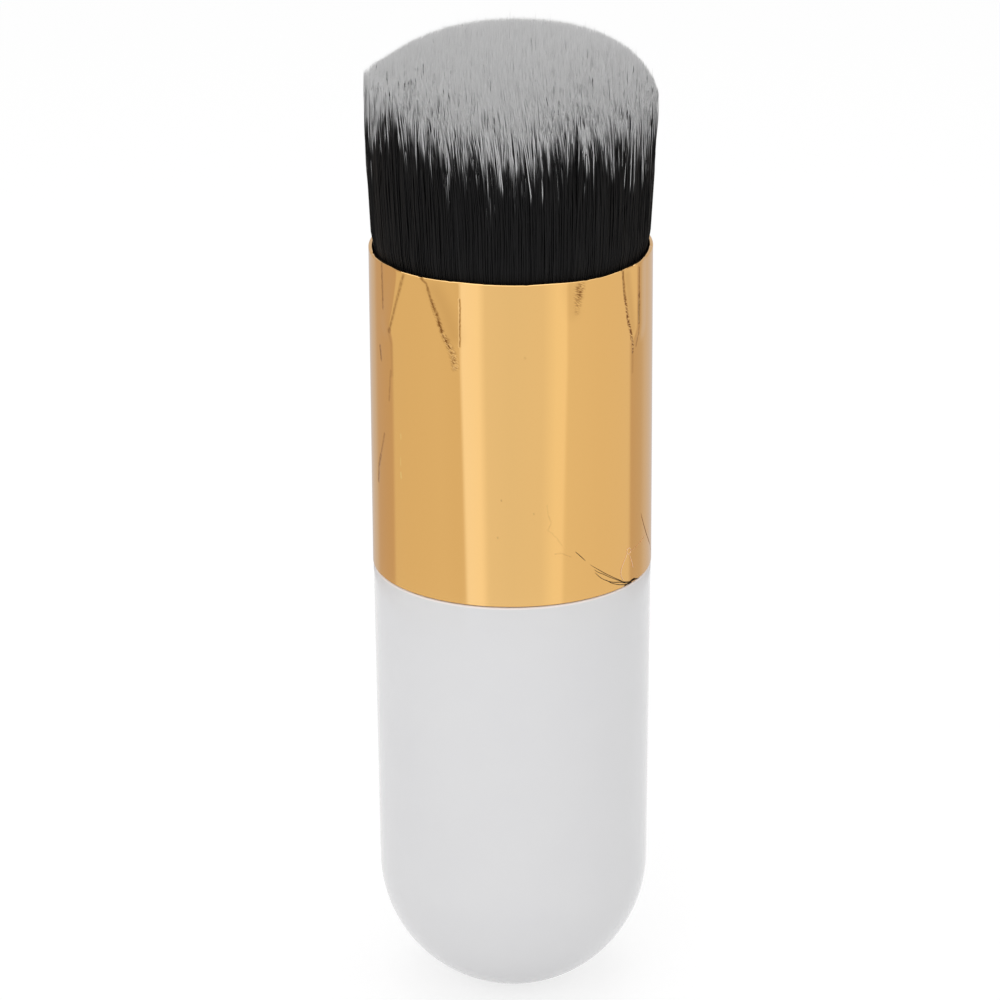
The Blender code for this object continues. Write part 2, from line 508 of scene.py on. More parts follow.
@dataclass(frozen=True)
class GoldAnodisedAluminium(Finish):
    """Aluminium tube, drawn, polished and anodised bright gold: a warm mirror with creases and scuffs.

    Fingers have dulled it towards the handle, so reflections soften there. Real draw lines are finer than a
    tenth of a millimetre. They are drawn as coarse as they need to be to show. So are the short strokes of
    the combed creases. The creases' dark brown is painted shade, and so are the soft shade marks where
    the bent wall reflects darker. The pale glints are painted highlights. A smudge and a few specks are
    real marks.
    """

    name: str = "gold_anodised_aluminium"
    gold_hex: str = "#FACD8A"
    # Painted shade and highlight colours: the brown that creases and shade marks darken the gold to, and the
    # pale gold that glints lighten it to.
    crease_shade_hex: str = "#784206"
    painted_glint_hex: str = "#FFE6A4"
    polished_roughness: float = 0.03
    fingered_roughness: float = 0.10
    scuffed_roughness: float = 0.16
    polished_mm: float = 72.0
    fingered_mm: float = 50.0
    draw_line_mm: float = 0.12
    draw_line_length_mm: float = 14.0
    draw_line_height_mm: float = 0.0004
    crease_height_mm: float = 0.02
    waver_mm: float = 0.5
    waver_reach_mm: float = 0.16
    grit_mm: float = 0.3
    least_crease: float = 0.6
    patch_shares: tuple[float, float] = (0.38, 0.58)
    comb_slant_deg: float = -27.0
    comb_pitch_mm: float = 0.12
    comb_length_mm: float = 0.45
    creases: tuple[Mark, ...] = ()
    combed: tuple[Mark, ...] = ()
    painted_shades_and_specks: tuple[Mark, ...] = ()
    painted_glints: tuple[Mark, ...] = ()
    tube_radius_mm: float = 13.0

    def unrolled(self, tree: Tree) -> Socket:
        """Add the tube's unrolled surface as coordinates: millimetres round it, and millimetres up.

        Args:
            tree: The material's nodes.

        Returns:
            The coordinates.
        """
        place = add_node(tree, "TexCoord").outputs["Object"]
        split = add_node(tree, "SeparateXYZ", inputs={0: place})
        front = add_node(tree, "Math", {"operation": "MULTIPLY"}, {0: split.outputs["Y"], 1: -1.0})
        turn = add_node(tree, "Math", {"operation": "ARCTAN2"}, {0: split.outputs["X"], 1: front.outputs[0]})
        around = add_node(
            tree, "Math", {"operation": "MULTIPLY"}, {0: turn.outputs[0], 1: self.tube_radius_mm}
        )
        height = add_node(tree, "Math", {"operation": "DIVIDE"}, {0: split.outputs["Z"], 1: MM})
        flat = add_node(tree, "CombineXYZ", inputs={"X": around.outputs[0], "Y": height.outputs[0]})
        return flat.outputs[0]

    def depth_of(self, tree: Tree, flat: Socket, marks: Sequence[Mark]) -> Socket:
        """Draw marks as soft lines on the unrolled tube.

        Args:
            tree: The material's nodes.
            flat: The unrolled coordinates in millimetres.
            marks: The marks to draw.

        Returns:
            How deep the surface is marked, from zero to one.
        """
        reached = add_node(tree, "Value").outputs[0]
        reached.default_value = 0.0
        for mark in marks:
            for start, end in mark.stretches(self.tube_radius_mm):
                reached = self.deepened(tree, flat, reached, Vector((*start, 0)), Vector((*end, 0)), mark)
        return reached

    def deepened(
        self, tree: Tree, flat: Socket, reached: Socket, start: Vector, end: Vector, mark: Mark
    ) -> Socket:
        """Add one straight stretch of a mark to those before it.

        Args:
            tree: The material's nodes.
            flat: The unrolled coordinates in millimetres.
            reached: How deep the surface is marked so far.
            start: Where the stretch starts on the unrolled tube.
            end: Where it ends.
            mark: The mark that it belongs to.

        Returns:
            How deep the surface is marked with it.
        """
        run = end - start
        off = add_node(tree, "VectorMath", {"operation": "SUBTRACT"}, {0: flat, 1: start})
        along = add_node(
            tree, "VectorMath", {"operation": "DOT_PRODUCT"}, {0: off.outputs[0], 1: run / run.length_squared}
        )
        share = add_node(tree, "Clamp", inputs={"Value": along.outputs["Value"]})
        foot = add_node(
            tree, "VectorMath", {"operation": "SCALE"}, {0: tuple(run), "Scale": share.outputs[0]}
        )
        away = add_node(
            tree, "VectorMath", {"operation": "DISTANCE"}, {0: off.outputs[0], 1: foot.outputs[0]}
        )
        depth = add_node(
            tree,
            "MapRange",
            SMOOTH,
            {
                "Value": away.outputs["Value"],
                "From Max": mark.half_width_mm,
                "To Min": mark.depth,
                "To Max": 0.0,
            },
        )
        most = add_node(tree, "Math", {"operation": "MAXIMUM"}, {0: reached, 1: depth.outputs["Result"]})
        return most.outputs[0]

    def wavered(self, tree: Tree, flat: Socket) -> Socket:
        """Shift the unrolled coordinates a little, so that no mark is ruler straight.

        Args:
            tree: The material's nodes.
            flat: The unrolled coordinates in millimetres.

        Returns:
            The shifted coordinates.
        """
        shift = add_node(
            tree, "TexNoise", inputs={"Vector": flat, "Scale": 1 / self.waver_mm, "Detail": 1.0}
        )
        centred = add_node(
            tree, "VectorMath", {"operation": "SUBTRACT"}, {0: shift.outputs["Color"], 1: NOISE_MIDDLE}
        )
        reach = add_node(
            tree, "VectorMath", {"operation": "SCALE"}, {0: centred.outputs[0], "Scale": self.waver_reach_mm}
        )
        moved = add_node(tree, "VectorMath", {"operation": "ADD"}, {0: flat, 1: reach.outputs[0]})
        return moved.outputs[0]

    def patchy(self, tree: Tree, noise: Socket, least: float) -> Socket:
        """Sharpen a noise to worn patches.

        Args:
            tree: The material's nodes.
            noise: The noise, from zero to one.
            least: The value between the patches. Within them it is one.

        Returns:
            The patches' values.
        """
        low, high = self.patch_shares
        patches = add_node(
            tree,
            "MapRange",
            SMOOTH,
            {"Value": noise, "From Min": low, "From Max": high, "To Min": least, "To Max": 1.0},
        )
        return patches.outputs["Result"]

    def creased(self, tree: Tree, flat: Socket) -> Socket:
        """Draw the plain creases, broken by grit, and the combed ones, rows of short slanting strokes.

        Args:
            tree: The material's nodes.
            flat: The unrolled coordinates in millimetres.

        Returns:
            How deep the surface is creased, from zero to one.
        """
        wavered = self.wavered(tree, flat)
        grit = add_node(tree, "TexNoise", inputs={"Vector": flat, "Scale": 1 / self.grit_mm, "Detail": 3.0})
        plain = add_node(
            tree,
            "Math",
            {"operation": "MULTIPLY"},
            {
                0: self.depth_of(tree, wavered, self.creases),
                1: self.patchy(tree, grit.outputs["Fac"], self.least_crease),
            },
        )
        turned = add_node(
            tree,
            "Mapping",
            {"vector_type": "TEXTURE"},
            {
                "Vector": flat,
                "Rotation": (0, 0, math.radians(self.comb_slant_deg)),
                "Scale": (self.comb_length_mm, self.comb_pitch_mm, 1),
            },
        )
        strokes = add_node(
            tree, "TexNoise", inputs={"Vector": turned.outputs[0], "Scale": 1.0, "Detail": 1.0}
        )
        comb = add_node(
            tree,
            "Math",
            {"operation": "MULTIPLY"},
            {
                0: self.depth_of(tree, wavered, self.combed),
                1: self.patchy(tree, strokes.outputs["Fac"], 0.0),
            },
        )
        both = add_node(tree, "Math", {"operation": "MAXIMUM"}, {0: plain.outputs[0], 1: comb.outputs[0]})
        return both.outputs[0]

    def paint(self, tree: Tree, shader: bpy.types.Node) -> None:
        """Gold mirror with draw lines along the tube, creases darkened by painted shade, painted shade marks,
        a smudge and specks, and painted glints.

        Args:
            tree: The material's nodes.
            shader: Its Principled shader.
        """
        flat = self.unrolled(tree)
        crease = self.creased(tree, flat)
        shade = self.depth_of(tree, flat, self.painted_shades_and_specks)
        # Painted shade: the creases and the shade marks darken the gold's base colour towards brown. The
        # smudge and specks among them are real marks.
        dark = add_node(tree, "Math", {"operation": "ADD", "use_clamp": True}, {0: crease, 1: shade})
        marked = add_node(
            tree,
            "Mix",
            COLOUR_MIX,
            {Mix.SHARE: dark.outputs[0], Mix.UNDER: linear(self.gold_hex), Mix.OVER: linear(self.crease_shade_hex)},
        )
        # Painted highlight: the glint marks lighten the base colour towards pale gold.
        colour = add_node(
            tree,
            "Mix",
            COLOUR_MIX,
            {
                Mix.SHARE: self.depth_of(tree, flat, self.painted_glints),
                Mix.UNDER: marked.outputs[Mix.RESULT],
                Mix.OVER: linear(self.painted_glint_hex),
            },
        )
        stretched = add_node(
            tree,
            "Mapping",
            inputs={"Vector": flat, "Scale": (1 / self.draw_line_mm, 1 / self.draw_line_length_mm, 1)},
        )
        lines = add_node(
            tree, "TexNoise", inputs={"Vector": stretched.outputs[0], "Scale": 1.0, "Detail": 2.0}
        )
        height = add_node(tree, "SeparateXYZ", inputs={0: flat})
        touched = add_node(
            tree,
            "MapRange",
            inputs={
                "Value": height.outputs["Y"],
                "From Min": self.fingered_mm,
                "From Max": self.polished_mm,
                "To Min": self.fingered_roughness,
                "To Max": self.polished_roughness,
            },
        )
        rough = add_node(
            tree,
            "MapRange",
            inputs={"Value": crease, "To Min": touched.outputs["Result"], "To Max": self.scuffed_roughness},
        )
        drawn = add_node(
            tree, "Bump", inputs={"Height": lines.outputs["Fac"], "Distance": self.draw_line_height_mm * MM}
        )
        dented = add_node(
            tree,
            "Bump",
            {"invert": True},
            {"Height": crease, "Distance": self.crease_height_mm * MM, "Normal": drawn.outputs[0]},
        )
        driven = {
            "Base Color": colour.outputs[Mix.RESULT],
            "Roughness": rough.outputs["Result"],
            "Normal": dented.outputs["Normal"],
        }
        feed(tree, shader, {**driven, "Metallic": 1.0})


@dataclass(frozen=True)
class DyedNylon(Finish):
    """Nylon filament, dyed black and left pale at the tip: soft satin strands that fade through grey.

    A strand is too thin for its own highlight to show, so its shine is kept far below that of solid nylon.
    """

    name: str = "dyed_nylon_fibre"
    fade: tuple[tuple[float, str], ...] = (
        (0.0, "#202021"),
        (0.25, "#3A3A3B"),
        (0.55, "#7E7E7F"),
        (0.80, "#C2C2C3"),
        (1.0, "#E0E0E0"),
    )
    tone_dark: float = 0.83
    tone_light: float = 1.10
    roughness: float = 0.48
    shine: float = 0.05
    share_layer: str = "pale_share"
    tone_layer: str = "dye_tone"

    def paint(self, tree: Tree, shader: bpy.types.Node) -> None:
        """Fade from black to pale where each strand says, and vary the tone from strand to strand.

        Args:
            tree: The material's nodes.
            shader: Its Principled shader.
        """
        share = add_node(tree, "Attribute", {"attribute_name": self.share_layer})
        tone = add_node(tree, "Attribute", {"attribute_name": self.tone_layer})
        dye = add_node(tree, "ValToRGB", inputs={"Fac": share.outputs["Fac"]}, stops=self.fade)
        strength = add_node(
            tree,
            "MapRange",
            inputs={"Value": tone.outputs["Fac"], "To Min": self.tone_dark, "To Max": self.tone_light},
        )
        varied = add_node(
            tree,
            "VectorMath",
            {"operation": "SCALE"},
            {0: dye.outputs["Color"], "Scale": strength.outputs["Result"]},
        )
        satin = {"Roughness": self.roughness, "Specular IOR Level": self.shine}
        feed(tree, shader, {"Base Color": varied.outputs[0], **satin})

    def colour(self, mesh: bpy.types.Mesh, shares: np.ndarray, tones: np.ndarray) -> None:
        """Give a mesh its vertices' shares of the fade and their strands' tones, from zero to one."""
        for layer, values in ((self.share_layer, shares), (self.tone_layer, tones)):
            mesh.attributes.new(layer, "FLOAT", "POINT").data.foreach_set("value", values.astype(np.float32))


@dataclass(frozen=True)
class CastEpoxy(Finish):
    """Two-part epoxy, poured and cured: glassy amber with bubbles under its surface.

    Real bubbles are a tenth of a millimetre. They are drawn larger, so that they show.
    """

    clear_hex: str = "#C7AE7C"
    cloudy_hex: str = "#DCCDA8"
    cloud_mm: float = 2.5
    bubble_mm: float = 0.6
    bubble_height_mm: float = 0.03
    roughness: float = 0.22
    ior: float = 1.55

    def paint(self, tree: Tree, shader: bpy.types.Node) -> None:
        """Cloud the amber, and raise the bubbles under its skin.

        Args:
            tree: The material's nodes.
            shader: Its Principled shader.
        """
        place = add_node(tree, "TexCoord").outputs["Object"]
        clouds = add_node(tree, "TexNoise", inputs={"Vector": place, "Scale": 1 / (self.cloud_mm * MM)})
        cloud = add_node(
            tree,
            "Mix",
            COLOUR_MIX,
            {
                Mix.SHARE: clouds.outputs["Fac"],
                Mix.UNDER: linear(self.clear_hex),
                Mix.OVER: linear(self.cloudy_hex),
            },
        )
        cells = add_node(
            tree,
            "TexVoronoi",
            {"feature": "SMOOTH_F1"},
            {"Vector": place, "Scale": 1 / (self.bubble_mm * MM)},
        )
        bubbles = add_node(
            tree,
            "Bump",
            {"invert": True},
            {"Height": cells.outputs["Distance"], "Distance": self.bubble_height_mm * MM},
        )
        driven = {"Base Color": cloud.outputs[Mix.RESULT], "Normal": bubbles.outputs["Normal"]}
        feed(tree, shader, {**driven, "Roughness": self.roughness, "IOR": self.ior})


@dataclass(frozen=True)
class SpunPolyester(Finish):
    """Polyester thread, spun from two plies: matt off-white with a twist that shows as slanting ribs.

    The ribs are drawn coarser than the real twist, so that they show. The darker grey between them is painted
    shade in the grooves.
    """

    name: str = "spun_polyester_thread"
    thread_hex: str = "#D9D6CF"
    groove_shade_hex: str = "#A8A49B"
    ply_mm: float = 0.22
    ply_height_mm: float = 0.03
    node_turns: float = 20.0
    unevenness: float = 1.5
    roughness: float = 0.85

    def paint(self, tree: Tree, shader: bpy.types.Node) -> None:
        """Twist the plies round the thread. A wave texture multiplies its place by node_turns.

        Args:
            tree: The material's nodes.
            shader: Its Principled shader.
        """
        place = add_node(tree, "TexCoord").outputs["Object"]
        plies = add_node(
            tree,
            "TexWave",
            {"wave_type": "BANDS", "bands_direction": "DIAGONAL"},
            {
                "Vector": place,
                "Scale": 1 / (self.ply_mm * MM * self.node_turns),
                "Distortion": self.unevenness,
            },
        )
        # Painted shade: the grooves between the plies get a darker grey base colour.
        colour = add_node(
            tree,
            "Mix",
            COLOUR_MIX,
            {
                Mix.SHARE: plies.outputs["Fac"],
                Mix.UNDER: linear(self.groove_shade_hex),
                Mix.OVER: linear(self.thread_hex),
            },
        )
        ribs = add_node(
            tree, "Bump", inputs={"Height": plies.outputs["Fac"], "Distance": self.ply_height_mm * MM}
        )
        driven = {"Base Color": colour.outputs[Mix.RESULT], "Normal": ribs.outputs["Normal"]}
        feed(tree, shader, {**driven, "Roughness": self.roughness})


@dataclass
class Handle:
    """The hollow white handle: round end, drafted wall, shoulder, and the grooved neck inside the ferrule."""

    end_radius: float = 12.70
    bore_radius: float = 10.45
    neck_radius: float = 12.35
    wall_flare: float = 0.02
    wall_start: float = 1.0
    wall_top_gap: float = 0.4
    shoulder_rounding: float = 0.12
    seam: float = 0.13
    neck_lead: float = 0.6
    groove_depth: float = 0.9
    groove_gap: float = 0.3
    steps: int = 192
    end_steps: int = 40
    shoulder_steps: int = 6
    bore_steps: int = 24

    def __post_init__(self) -> None:
        """Read from the frame how long and thick the handle is, and where the ferrule and glue rings lie."""
        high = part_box("handle_shell")[1] / MM
        self.top_radius = high.x
        self.neck_top = high.z
        self.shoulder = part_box("ferrule")[0].z / MM - self.seam
        self.rings = [[corner.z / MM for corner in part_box(name)] for name in GLUE_RINGS]

    def neck(self) -> Outline:
        """The neck's outer side from the shoulder up, with a square groove for each glue ring.

        Returns:
            Its points from the shoulder to the neck's top.
        """
        points = [(self.neck_radius, self.shoulder)]
        floor = self.neck_radius - self.groove_depth
        for ring_low, ring_high in self.rings:
            low = ring_low - self.groove_gap
            high = ring_high + self.groove_gap
            points += [(self.neck_radius, low), (floor, low), (floor, high), (self.neck_radius, high)]
        lead = self.neck_lead
        return [*points, (self.neck_radius, self.neck_top - lead), (self.neck_radius - lead, self.neck_top)]

    def build(self) -> list[bpy.types.Object]:
        """Turn the shell from its round end to its neck and back down the bore.

        Returns:
            The handle, in a list.
        """
        rounding = self.shoulder_rounding
        low = self.shoulder - rounding
        outside = arc(self.end_radius, (0, self.end_radius), -90, 0, self.end_steps)
        wall = [
            (self.end_radius + self.wall_flare, self.end_radius + self.wall_start),
            (self.top_radius, low - self.wall_top_gap),
        ]
        shoulder = arc(rounding, (self.top_radius - rounding, low), 0, 90, self.shoulder_steps)
        bore = arc(self.bore_radius, (0, self.end_radius), 0, -90, self.bore_steps)
        outline = [*outside, *wall, *shoulder, *self.neck(), (self.bore_radius, self.neck_top), *bore]
        mesh = turned_mesh("handle", outline, self.steps, closed=False)
        handle = new_piece("handle", mesh, MouldedAbs(painted_highlight_top_mm=self.shoulder).material())
        return [hold(handle, Slot.HANDLE, "handle_shell")]


@dataclass
class Ferrule:
    """The thin gold tube: rounded lip with small nicks, square lower edge, and the marks of handling, with
    painted shade and painted glints among them.
    """

    wall: float = 0.35
    lip_rounding: float = 0.25
    lip_inner_rounding: float = 0.08
    lip_band: float = 0.5
    foot_band: float = 0.5
    steps: int = 480
    lip_steps: int = 8
    lip_inner_steps: int = 4
    ridge_height: float = 0.15
    ridge_rows: int = 28
    ridge_top_gap: float = 0.9
    ruffle: float = 0.007
    ruffle_laps: tuple[int, ...] = (3, 7, 12, 19, 31, 47)
    ruffle_fall: float = 0.3
    nick_count: int = 30
    nick_depth: float = 0.07
    nick_shares: tuple[float, float] = (-0.5, 1.0)
    nick_width_deg: float = 0.8
    seed: int = 3

    lip_drops: Curve = (
        (-180, 0.16),
        (-110, 0.22),
        (-72, 0.31),
        (-57, 0.21),
        (-35, 0.20),
        (-20, 0.10),
        (5, 0.17),
        (16, 0.15),
        (27, 0.27),
        (39, 0.33),
        (52, 0.27),
        (63, 0.23),
        (100, 0.14),
        (180, 0.16),
    )
    """Azimuth, and how far the lip lies below the rim there."""

    # Creases: dents in the bump, with their dark brown painted shade.
    creases: tuple[Mark, ...] = (
        Mark(((-63.9, 73.4), (-63.5, 71.4), (-63.1, 69.3)), 0.30, 0.58),
        Mark(((-47.3, 73.3), (-49.8, 71.8), (-52.3, 70.3), (-55.7, 68.3), (-57.5, 67.4)), 0.30, 0.54),
        Mark(((-38.7, 73.5), (-35.7, 73.0), (-33.9, 71.8), (-31.0, 70.3), (-28.8, 69.0)), 0.24, 0.64),
        Mark(((-20.8, 72.0), (-20.9, 67.6)), 0.14, 0.62),
        Mark(((-66.5, 65.4), (-65.5, 64.2)), 0.30, 0.70),
        Mark(((-57.5, 63.6), (-59.0, 60.7)), 0.26, 0.30),
        Mark(((-63.4, 57.1), (-67.4, 54.8)), 0.28, 0.40),
        Mark(((-67.4, 54.8), (-69.6, 53.6), (-70.4, 52.1)), 0.38, 0.65),
        Mark(((50.5, 73.3), (51.3, 71.6), (52.0, 70.7)), 0.28, 0.80),
        Mark(((61.9, 73.0), (61.9, 69.9)), 0.20, 0.70),
        Mark(((61.9, 70.5), (61.9, 67.8)), 0.28, 1.00),
        Mark(((61.9, 67.8), (61.8, 66.8), (60.4, 65.7)), 0.22, 0.45),
        Mark(
            ((14.0, 52.6), (14.4, 51.7), (15.6, 50.9), (14.4, 50.2), (17.7, 49.4), (20.3, 48.6)), 0.12, 0.13
        ),
        Mark(((17.3, 47.8), (19.9, 47.8), (24.2, 47.3)), 0.12, 0.18),
    )
    # Combed creases: rows of short dents, with their dark brown painted shade.
    combed: tuple[Mark, ...] = (
        Mark(((-33.4, 71.5), (-30.4, 69.9), (-28.2, 68.6), (-25.5, 67.4)), 0.40, 0.85),
        Mark(((-26.2, 67.9), (-23.8, 66.7), (-23.1, 65.6)), 0.55, 0.62),
        Mark(
            ((51.9, 71.0), (52.7, 70.1), (54.4, 68.4), (56.5, 67.0), (58.0, 65.8), (57.8, 65.3)), 0.28, 0.95
        ),
        Mark(((28.3, 72.9), (27.6, 72.1)), 0.75, 0.62),
        Mark(((27.7, 72.2), (27.2, 71.3)), 0.60, 0.48),
        Mark(((27.0, 71.5), (26.8, 70.6)), 0.40, 0.28),
    )
    # Painted shade where the bent wall reflects darker, with a real smudge and small dark specks.
    painted_shades_and_specks: tuple[Mark, ...] = (
        Mark(((27.2, 72.9), (28.3, 72.6), (27.8, 72.1)), 0.45, 0.25),
        Mark(((23.6, 72.8), (25.4, 70.6)), 1.20, 0.09),
        Mark(((-31.5, 72.6), (-26.5, 70.6), (-23.5, 68.6)), 1.60, 0.13),
        Mark(((53.4, 72.8), (55.2, 70.5), (57.4, 67.5)), 0.90, 0.16),
        Mark(((-58.2, 67.4), (-56.5, 66.1), (-56.2, 63.3)), 0.35, 0.14),
        Mark(((57.7, 65.3), (57.6, 63.4)), 0.30, 0.16),
        Mark(((-4.4, 53.25), (-4.3, 53.15)), 0.13, 0.25),
        Mark(((8.6, 51.9), (8.7, 51.8)), 0.12, 0.20),
        Mark(((-5.9, 49.65), (-5.8, 49.55)), 0.12, 0.22),
        Mark(((5.2, 66.8), (5.4, 66.7)), 0.18, 0.12),
    )
    # Painted glints: pale highlights on the gold.
    painted_glints: tuple[Mark, ...] = (
        Mark(((-50.9, 57.95), (-50.8, 57.5)), 0.10, 0.80),
        Mark(((-51.3, 55.6), (-51.2, 54.9)), 0.10, 0.60),
        Mark(((-51.2, 54.2), (-51.0, 53.7)), 0.13, 0.90),
        Mark(((61.8, 70.0), (61.8, 67.9)), 0.18, 0.40),
    )
    ridges: tuple[Mark, ...] = (
        Mark(((-48.2, 74.0), (-50.7, 71.8), (-53.1, 70.3), (-57.2, 68.0)), 2.10, 1.00),
        Mark(((62.8, 74.0), (62.9, 67.5)), 1.90, 0.85),
    )
    """Where the wall is bent outwards a little. The bends turn its reflections."""

    def __post_init__(self) -> None:
        """Read the tube's radius and ends from the frame."""
        low, high = (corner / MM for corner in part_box("ferrule"))
        self.radius = high.x
        self.bottom = low.z
        self.rim = high.z

    def outline(self) -> Outline:
        """The wall's section, from its lower inner corner round the outside.

        Returns:
            Its points (radius, height) in millimetres.
        """
        lip = self.lip_rounding
        inner = self.lip_inner_rounding
        inside = self.radius - self.wall
        lower = [(inside, self.bottom), (self.radius, self.bottom)]
        foot = self.bottom + self.foot_band
        top = self.rim - self.lip_band
        bends = np.linspace(self.ridge_foot(), self.rim - self.ridge_top_gap, self.ridge_rows)
        wall = [(self.radius, height) for height in (foot, *bends, top)]
        upper_out = arc(lip, (self.radius - lip, self.rim - lip), 0, 90, self.lip_steps)
        upper_in = arc(inner, (inside + inner, self.rim - inner), 90, 180, self.lip_inner_steps)
        return [*lower, *wall, *upper_out, *upper_in, (inside, top), (inside, foot)]

    def ridge_foot(self) -> float:
        """How far down the ridges reach."""
        return min(height - ridge.half_width_mm for ridge in self.ridges for _, height in ridge.places)

    def bend_ridges(self, mesh: bpy.types.Mesh) -> None:
        """Bend the wall outwards along its ridges, each of which falls off by a smooth step.

        Args:
            mesh: The tube's mesh, which is changed.
        """
        places = places_of(mesh)
        flat = np.stack([azimuths(places) * self.radius, places[:, 2]], axis=1)
        lift = np.zeros(len(places))
        for ridge in self.ridges:
            for start, end in np.array(ridge.stretches(self.radius)):
                run = end - start
                share = np.clip((flat - start) @ run / (run @ run), 0, 1)
                away = np.linalg.norm(flat - start - share[:, None] * run, axis=1)
                near = np.clip(1 - away / ridge.half_width_mm, 0, 1)
                lift = np.maximum(lift, ridge.depth * near**2 * (3 - 2 * near))
        places[:, :2] *= 1 + (self.ridge_height * lift / self.radius)[:, None]
        move_to(mesh, places)

    def nick_lip(self, mesh: bpy.types.Mesh) -> None:
        """Make the lip a little uneven, as a trimmed thin tube is, with a few small nicks.

        Args:
            mesh: The tube's mesh, which is changed.
        """
        rng = np.random.default_rng(self.seed)
        places = places_of(mesh)
        turn = np.degrees(azimuths(places))
        near_lip = np.clip((places[:, 2] - self.rim + self.lip_band) / self.lip_band, 0, 1)
        waves = np.zeros(len(places))
        for laps in self.ruffle_laps:
            waves += np.cos(np.radians(turn * laps) + rng.uniform(0, math.tau)) / laps**self.ruffle_fall
        rise = self.ruffle * waves
        for middle in rng.uniform(-180, 180, self.nick_count):
            apart = np.abs((turn - middle + 180) % 360 - 180)
            depth = self.nick_depth * rng.uniform(*self.nick_shares)
            rise -= depth * np.exp(-((apart / self.nick_width_deg) ** 2))
        rise -= np.interp(turn, *zip(*self.lip_drops))
        places[:, 2] += rise * near_lip
        move_to(mesh, places)

    def build(self) -> list[bpy.types.Object]:
        """Turn the tube, bend and nick it as handling did, and finish it in gold.

        Returns:
            The tube, in a list.
        """
        mesh = turned_mesh("ferrule_tube", self.outline(), self.steps, closed=True)
        self.bend_ridges(mesh)
        self.nick_lip(mesh)
        gold = GoldAnodisedAluminium(
            creases=self.creases,
            combed=self.combed,
            painted_shades_and_specks=self.painted_shades_and_specks,
            painted_glints=self.painted_glints,
            tube_radius_mm=self.radius,
        )
        return [hold(new_piece("ferrule_tube", mesh, gold.material()), Slot.FERRULE, "ferrule")]


@dataclass
class StrandSet:
    """Places, widths and colours of many strands, ring by ring from root to tip."""

    middles: np.ndarray
    radii: np.ndarray
    pale_shares: np.ndarray
    tones: np.ndarray
    turns: np.ndarray
    sides: int = 3
    tone_classes: int = 64
    strip_reach: float = 0.35
    map_margin: float = 0.02

    def part(self, chosen: slice) -> "StrandSet":
        """The strands in one range."""
        every = (self.middles, self.radii, self.pale_shares, self.tones, self.turns)
        return StrandSet(*(values[chosen] for values in every))

    def corners(self) -> np.ndarray:
        """Every strand's corners, ring by ring, with its tip last.

        Returns:
            The corners in millimetres, one row of them for each strand.
        """
        angles = self.turns[:, None, None] + math.tau * np.arange(self.sides) / self.sides
        reach = self.radii[:, :-1, None]
        ring = np.repeat(self.middles[:, :-1, None, :], self.sides, axis=2)
        ring[..., 0] += reach * np.cos(angles)
        ring[..., 1] += reach * np.sin(angles)
        flat = ring.reshape(len(self.middles), -1, 3)
        return np.concatenate([flat, self.middles[:, -1:, :]], axis=1)

    def build(self, name: str, finish: DyedNylon) -> bpy.types.Mesh:
        """Make one mesh of closed strands.

        Args:
            name: The mesh's name.
            finish: The finish whose colour layers the strands fill.

        Returns:
            The mesh, in metres.
        """
        count, levels = self.radii.shape
        rings = levels - 1
        corners = self.corners()
        stride = corners.shape[1]
        first = (np.arange(count) * stride)[:, None, None]
        level = (np.arange(rings - 1) * self.sides)[None, :, None]
        side = np.arange(self.sides)[None, None, :]
        after = (side + 1) % self.sides
        quads = np.stack(
            [
                first + level + side,
                first + level + after,
                first + level + self.sides + after,
                first + level + self.sides + side,
            ],
            axis=-1,
        ).reshape(-1, 4)
        last = first[:, 0] + (rings - 1) * self.sides
        tip = np.broadcast_to(first[:, 0] + stride - 1, (count, self.sides))
        tips = np.stack([last + side[0], last + after[0], tip], axis=-1).reshape(-1, 3)
        roots = first[:, 0] + np.arange(self.sides)[::-1]
        mesh = bpy.data.meshes.new(name)
        spots = (corners.reshape(-1, 3) * MM).tolist()
        mesh.from_pydata(spots, [], quads.tolist() + tips.tolist() + roots.tolist())
        share = np.repeat(self.pale_shares[:, :-1], self.sides, axis=1)
        share = np.concatenate([share, self.pale_shares[:, -1:]], axis=1).ravel()
        finish.colour(mesh, share, np.repeat(self.tones, stride))
        self.lay_out(mesh, rings, stride)
        return mesh

    def lay_out(self, mesh: bpy.types.Mesh, rings: int, stride: int) -> None:
        """Lay strands of like tone on one upright strip of a map, so that a small image holds every colour.

        Args:
            mesh: The strands' mesh.
            rings: Rings of every strand, without its tip.
            stride: Vertices of every strand.
        """
        corner_vertex = np.empty(len(mesh.loops), np.int64)
        mesh.loops.foreach_get("vertex_index", corner_vertex)
        strand = corner_vertex // stride
        place = corner_vertex % stride
        level = np.where(place == stride - 1, rings, place // self.sides)
        strip = np.minimum(self.tones[strand] * self.tone_classes, self.tone_classes - 1).astype(int)
        across = 0.5 + self.strip_reach * np.cos(math.tau * (place % self.sides) / self.sides)
        up = self.map_margin + (1 - 2 * self.map_margin) * level / rings
        uv = np.stack([(strip + across) / self.tone_classes, up], axis=1)
        layer = mesh.uv_layers.new(name=BAKE_LAYER, do_init=False)
        layer.uv.foreach_set("vector", uv.astype(np.float32).ravel())


